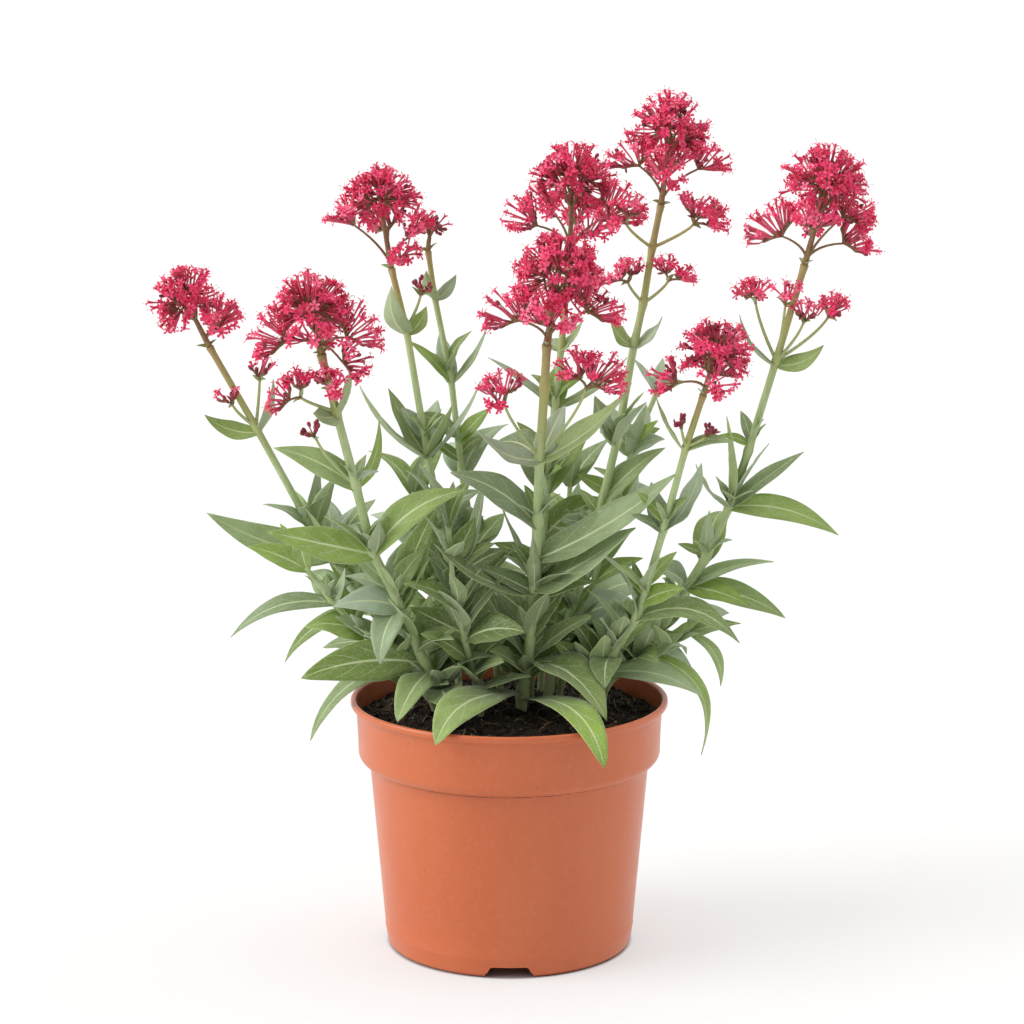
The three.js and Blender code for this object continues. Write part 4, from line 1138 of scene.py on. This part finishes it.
class Look(Nodes):
    """A material that starts with one colour, and short calls for what its shader takes."""

    def __init__(self, name, colour):
        self.material = bpy.data.materials.new(name)
        super().__init__(self.material)
        self.colour = colour
        self.shader = self.tree.nodes["Principled BSDF"]
        self.output = self.tree.nodes["Material Output"]

    def painted(self, name):
        return self.add("ShaderNodeAttribute", attribute_name=name).outputs["Fac"]

    def scaled(self, stretch):
        inputs = {0: self.place(), 1: stretch}
        return self.add("ShaderNodeVectorMath", inputs, operation="MULTIPLY").outputs[0]

    def length(self, vector):
        return self.add("ShaderNodeVectorMath", {0: vector}, operation="LENGTH").outputs["Value"]

    def noise(self, size, detail=3.0, roughness=0.55, stretch=(1, 1, 1)):
        """Noise with features of a size in millimetres."""
        inputs = {"Vector": self.scaled(stretch), "Scale": 1 / (size * MM)}
        inputs.update({"Detail": detail, "Roughness": roughness})
        return self.add("ShaderNodeTexNoise", inputs).outputs["Fac"]

    def step(self, low, high, value):
        inputs = {"Value": value, "From Min": low, "From Max": high}
        return self.add("ShaderNodeMapRange", inputs, interpolation_type="SMOOTHSTEP").outputs[0]

    def middle(self, inner):
        """Where the leaves get a painted shade: 1 low in the middle of the plant, and 0 outside it and above.
        """
        away = self.length(self.scaled((1, 1, 0)))
        height = self.add("ShaderNodeSeparateXYZ", {0: self.place()}).outputs["Z"]
        (near, far), (low, high) = inner["radius"], inner["height"]
        return self.times(self.step(far, near, away), self.step(high, low, height))

    def mix(self, share, a, b):
        made = self.add("ShaderNodeMix", data_type="RGBA")
        for socket, value in ((0, share), (6, a), (7, b)):
            self.set(made.inputs[socket], value)
        return made.outputs[2]

    def tint(self, colour, mask, share=None):
        """Lays a colour over the one so far, where the mask is 1, and as much as the share says."""
        if share is not None:
            mask = self.times(mask, share)
        self.colour = self.mix(mask, self.colour, colour)
        self.set(self.shader.inputs["Base Color"], self.colour)

    def bump(self, height, strength, depth):
        """Relief of a depth in millimetres."""
        inputs = {"Height": height, "Strength": strength, "Distance": depth * MM}
        self.set(self.shader.inputs["Normal"], self.add("ShaderNodeBump", inputs).outputs[0])

    def shine(self, roughness, specular=0.5):
        self.set(self.shader.inputs["Roughness"], roughness)
        self.shader.inputs["Specular IOR Level"].default_value = specular

    def glow_through(self, colour, share):
        """Part of the light that falls on one side comes out on the other."""
        thin = self.add("ShaderNodeBsdfTranslucent", {"Color": colour}).outputs[0]
        both = self.add("ShaderNodeMixShader", {0: share, 1: self.shader.outputs[0], 2: thin}).outputs[0]
        self.tree.links.new(both, self.output.inputs["Surface"])


def leaf_material():
    """Blue-green to fresh green with the leaf's tone, a painted shade within the plant, and its veins pale.
    """
    n = Look("leaf", LEAF_BLUE)
    tone, s, c, under = (n.painted(name) for name in ("tone", "along", "across", "under"))
    edge = n.maths("ABSOLUTE", c)
    own = n.maths("FRACT", n.times(tone, 37))
    n.tint(LEAF_GREEN, n.step(0.0, 0.5, tone))
    n.tint(LEAF_FRESH, n.step(0.5, 1.0, tone))
    n.tint(LEAF_DARK_AND_SHADE, n.step(0.3, 1.0, own), 0.62)
    n.tint(LEAF_DARK_AND_SHADE, n.step(0.35, 0.7, n.noise(9)), 0.3)
    # Painted shade on the leaves low in the middle of the plant, in the dark leaf colour
    n.tint(LEAF_DARK_AND_SHADE, n.middle(LEAF_INNER_SHADE), LEAF_INNER_SHADE["share"])
    n.tint(LEAF_BLOOM, n.step(0.4, 0.75, n.noise(0.9, 2)), 0.3)
    n.tint(LEAF_UNDER, under, 0.55)
    slant = n.maths("SUBTRACT", n.times(s, VEINS), n.times(edge, VEIN_SLANT))
    line = n.maths("ABSOLUTE", n.maths("SUBTRACT", n.maths("FRACT", slant), 0.5))
    side = n.times(n.step(0.07, 0.0, line), n.step(0.95, 0.55, edge))
    rib = n.step(0.085, 0.025, n.times(edge, n.plus(n.times(s, 0.9), 0.55)))
    n.tint(LEAF_VEIN, side, 0.5)
    n.tint(LEAF_RIB, rib, 0.9)
    n.tint(LEAF_RIB, n.step(0.93, 1.0, edge), 0.5)
    n.shine(n.plus(n.times(n.noise(5), 0.2), 0.4), 0.5)
    n.shader.inputs["Sheen Weight"].default_value = 0.25
    n.shader.inputs["Sheen Roughness"].default_value = 0.5
    height = n.plus(n.times(n.noise(0.7, 2), 0.3), n.times(side, -0.5))
    n.bump(height, 0.5, 0.35)
    n.glow_through(n.mix(tone, LEAF_GLOW, LEAF_GLOW_FRESH), 0.28)
    return n.material


def stem_material():
    """Green with fine streaks, paler at the bends, olive and reddish towards the flowers."""
    n = Look("stem", STEM_GREEN)
    n.tint(STEM_PALE, n.step(0.3, 0.7, n.noise(6, stretch=(1, 1, 0.2))))
    n.tint(STEM_DARK, n.step(0.4, 0.7, n.noise(0.8, 2, stretch=(1, 1, 0.1))), 0.3)
    n.tint(STEM_NODE, n.painted("across"), 0.4)
    blush = n.times(n.painted("along"), n.plus(n.times(n.noise(7), 0.6), 0.62))
    n.tint(STEM_OLIVE, n.step(0.0, 0.55, blush))
    n.tint(STEM_RED, n.step(0.55, 1.0, blush), 0.7)
    n.tint(STEM_DARK, n.painted("tone"), 0.15)
    n.shine(0.5, 0.4)
    n.bump(n.noise(0.7, 2, stretch=(1, 1, 0.15)), 0.25, 0.3)
    return n.material


def petal_material():
    n = Look("petal", PETAL_DEEP)
    tone = n.painted("tone")
    n.tint(PETAL_ROSE, n.step(0.0, 0.6, tone))
    n.tint(PETAL_PALE, n.step(0.6, 1.0, tone))
    n.tint(PETAL_DEEP, n.step(0.45, 0.12, n.painted("across")), 0.4)
    n.tint(PETAL_PALE, n.step(0.35, 0.7, n.noise(1.6)), 0.3)
    n.shine(0.45, 0.35)
    n.bump(n.noise(0.4, 2), 0.2, 0.2)
    n.glow_through(PETAL_GLOW, 0.3)
    return n.material


def throat_material():
    """The floret's tube, rose, and the olive-brown ovary at its foot."""
    n = Look("floret_tube", TUBE_DARK)
    n.tint(TUBE_ROSE, n.painted("tone"))
    n.tint(TUBE_PALE, n.step(0.35, 0.7, n.noise(2.2)), 0.35)
    n.tint(OVARY_BROWN, n.step(0.3, 0.06, n.painted("along")))
    n.shine(0.42, 0.4)
    n.glow_through(PETAL_GLOW, 0.15)
    return n.material


def twig_material():
    n = Look("flower_stalk", TWIG_OLIVE)
    n.tint(TWIG_RED, n.step(0.3, 0.7, n.noise(2.5)))
    n.tint(TWIG_BROWN, n.painted("along"), 0.5)
    n.shine(0.55, 0.35)
    n.bump(n.noise(0.5, 2), 0.2, 0.2)
    return n.material


def bud_material():
    n = Look("bud", BUD_DARK)
    n.tint(BUD_RED, n.painted("tone"))
    n.tint(BUD_PALE, n.step(0.3, 0.7, n.noise(0.9)), 0.4)
    n.tint(TWIG_BROWN, n.step(0.25, 0.0, n.painted("along")))
    n.shine(0.38, 0.45)
    return n.material


def plain_material(name, dark, light, size, roughness, relief=0.3):
    n = Look(name, dark)
    n.tint(light, n.step(0.3, 0.7, n.noise(size)))
    n.shine(roughness, 0.4)
    n.bump(n.noise(size / 2), 0.5, relief)
    return n.material


def pot_material():
    """Satin terracotta plastic: faint flow marks, fine dust, and a few dark specks."""
    n = Look("terracotta_plastic", POT_CLAY)
    n.tint(POT_WARM, n.step(0.3, 0.7, n.noise(38, 4, stretch=(1, 1, 0.35))))
    n.tint(POT_DUST, n.step(0.45, 0.8, n.noise(2.5, 4)), 0.25)
    cells = n.add("ShaderNodeTexVoronoi", {"Vector": n.place(), "Scale": 1 / (6.5 * MM)})
    pick = n.add("ShaderNodeSeparateColor", {0: cells.outputs["Color"]}).outputs[0]
    speck = n.times(n.step(0.06, 0.03, cells.outputs["Distance"]), n.step(0.72, 0.74, pick))
    n.tint(POT_SPECK, speck, 0.75)
    # Painted shade inside the pot, darker down towards the soil, in the soil's brown
    n.tint(SOIL_BROWN_AND_POT_SHADE, n.times(n.painted("tone"), n.step(0.25, 0.6, n.noise(3.5, 5))))
    n.shine(n.plus(n.times(n.noise(12, 4), 0.14), 0.26), 0.5)
    n.bump(n.plus(n.noise(0.45, 2), n.times(n.noise(14), 1.5)), 0.12, 0.25)
    return n.material


def soil_material():
    n = Look("peat", SOIL_BLACK)
    n.tint(SOIL_BROWN_AND_POT_SHADE, n.step(0.35, 0.7, n.noise(1.6, 5)))
    n.tint(SOIL_LIGHT, n.step(0.75, 1.0, n.painted("tone")), 0.6)
    n.shine(0.85, 0.3)
    n.bump(n.noise(0.8, 6, 0.7), 0.9, 0.9)
    return n.material


# The floor, the lights and the camera
def make_floor():
    corners = [(x * FLOOR_HALF, y * FLOOR_HALF, 0) for x, y in ((-1, -1), (1, -1), (1, 1), (-1, 1))]
    mesh = bpy.data.meshes.new("floor")
    mesh.from_pydata(corners, [], [(0, 1, 2, 3)])
    floor = put("floor", mesh)
    n = Look("floor", FLOOR_WHITE)
    n.tint(FLOOR_PALE, n.noise(300))
    n.shine(0.9, 0.1)
    n.shader.inputs["Emission Color"].default_value = (1, 1, 1, 1)
    # No glow on the floor under the pot: a painted shade there and in the notches
    glow = n.times(n.step(*GLOW_RANGE, n.length(n.place())), FLOOR_GLOW)
    n.set(n.shader.inputs["Emission Strength"], glow)
    mesh.materials.append(n.material)


def make_sun(name, strength, spread, place):
    light = bpy.data.lights.new(name, "SUN")
    light.energy = strength
    light.angle = math.radians(spread)
    put(name, light).rotation_euler = (-Vector(place)).to_track_quat("-Z", "Y").to_euler()


def make_lights():
    """A white studio, darker in front of the plant, with a broad soft light from the left."""
    world = bpy.data.worlds.new("studio")
    bpy.context.scene.world = world
    n = Nodes(world)
    way = n.add("ShaderNodeSeparateXYZ", {0: n.place("Generated")}).outputs
    walls = n.ranged(way["Y"], *WALLS, WORLD["front"], WORLD["back"])
    ceiling = n.ranged(way["Z"], *CEILING, 0, WORLD["top"])
    bright = n.maths("MAXIMUM", n.plus(walls, ceiling), n.ranged(way["Z"], *HORIZON, 0, 1))
    backdrop = n.tree.nodes["Background"].inputs
    n.set(backdrop["Strength"], bright)
    backdrop["Color"].default_value = (1, 1, 1, 1)
    make_sun("soft_key", KEY["strength"], KEY["spread"], KEY["from"])
    make_sun("soft_fill", FILL["strength"], FILL["spread"], FILL["from"])


def make_camera():
    data = bpy.data.cameras.new("camera")
    data.sensor_width = 36
    data.lens = FOCAL / IMAGE * data.sensor_width
    data.clip_start = 0.05
    data.clip_end = 200
    camera = put("camera", data)
    camera.location = Vector(EYE) * MM
    camera.rotation_euler = (math.radians(90 - PITCH), 0, math.radians(-YAW))
    bpy.context.scene.camera = camera


# Building
def make_plant():
    leaf_look, stem_look = leaf_material(), stem_material()
    flower_looks = [
        petal_material(), throat_material(), twig_material(), bud_material(),
        plain_material("anther", *ANTHER_TONES, 0.6, 0.6),
    ]
    forms = flower_forms(np.random.default_rng(7))
    for s, stem in enumerate(STEMS):
        name, node = stem["name"], node_of(stem)
        rng = np.random.default_rng(100 + s)
        body = Piece()
        stem_of(body, stem, rng)
        stalks_of(body, stem, rng)
        body.make(f"{name}_stem", [stem_look], "leaf", node)
        foliage = Piece()
        leaves_of(foliage, stem, rng)
        foliage.make(f"{name}_leaves", [leaf_look], "leaf", node)
        if "head" not in stem:
            continue
        flowers = Piece()
        head_of(flowers, stem, forms, rng)
        flowers.make(f"{name}_flowers", flower_looks, "flower", f"head_{name}")
        for c, cluster in enumerate(stem["clusters"], 1):
            spray = Piece()
            cluster_of(spray, stem, cluster, forms, rng)
            spray.make(f"{name}_spray_{c}", flower_looks, "flower", f"cluster_{name}_{c}")


make_floor()
make_lights()
make_camera()
bpy.context.scene.view_settings.view_transform = "Standard"
make_pot([pot_material()])
make_soil(
    [soil_material(), plain_material("perlite", *PERLITE_TONES, 0.7, 0.8),
     plain_material("fibre", *FIBRE_TONES, 2.5, 0.8)],
    np.random.default_rng(3),
)
make_plant()
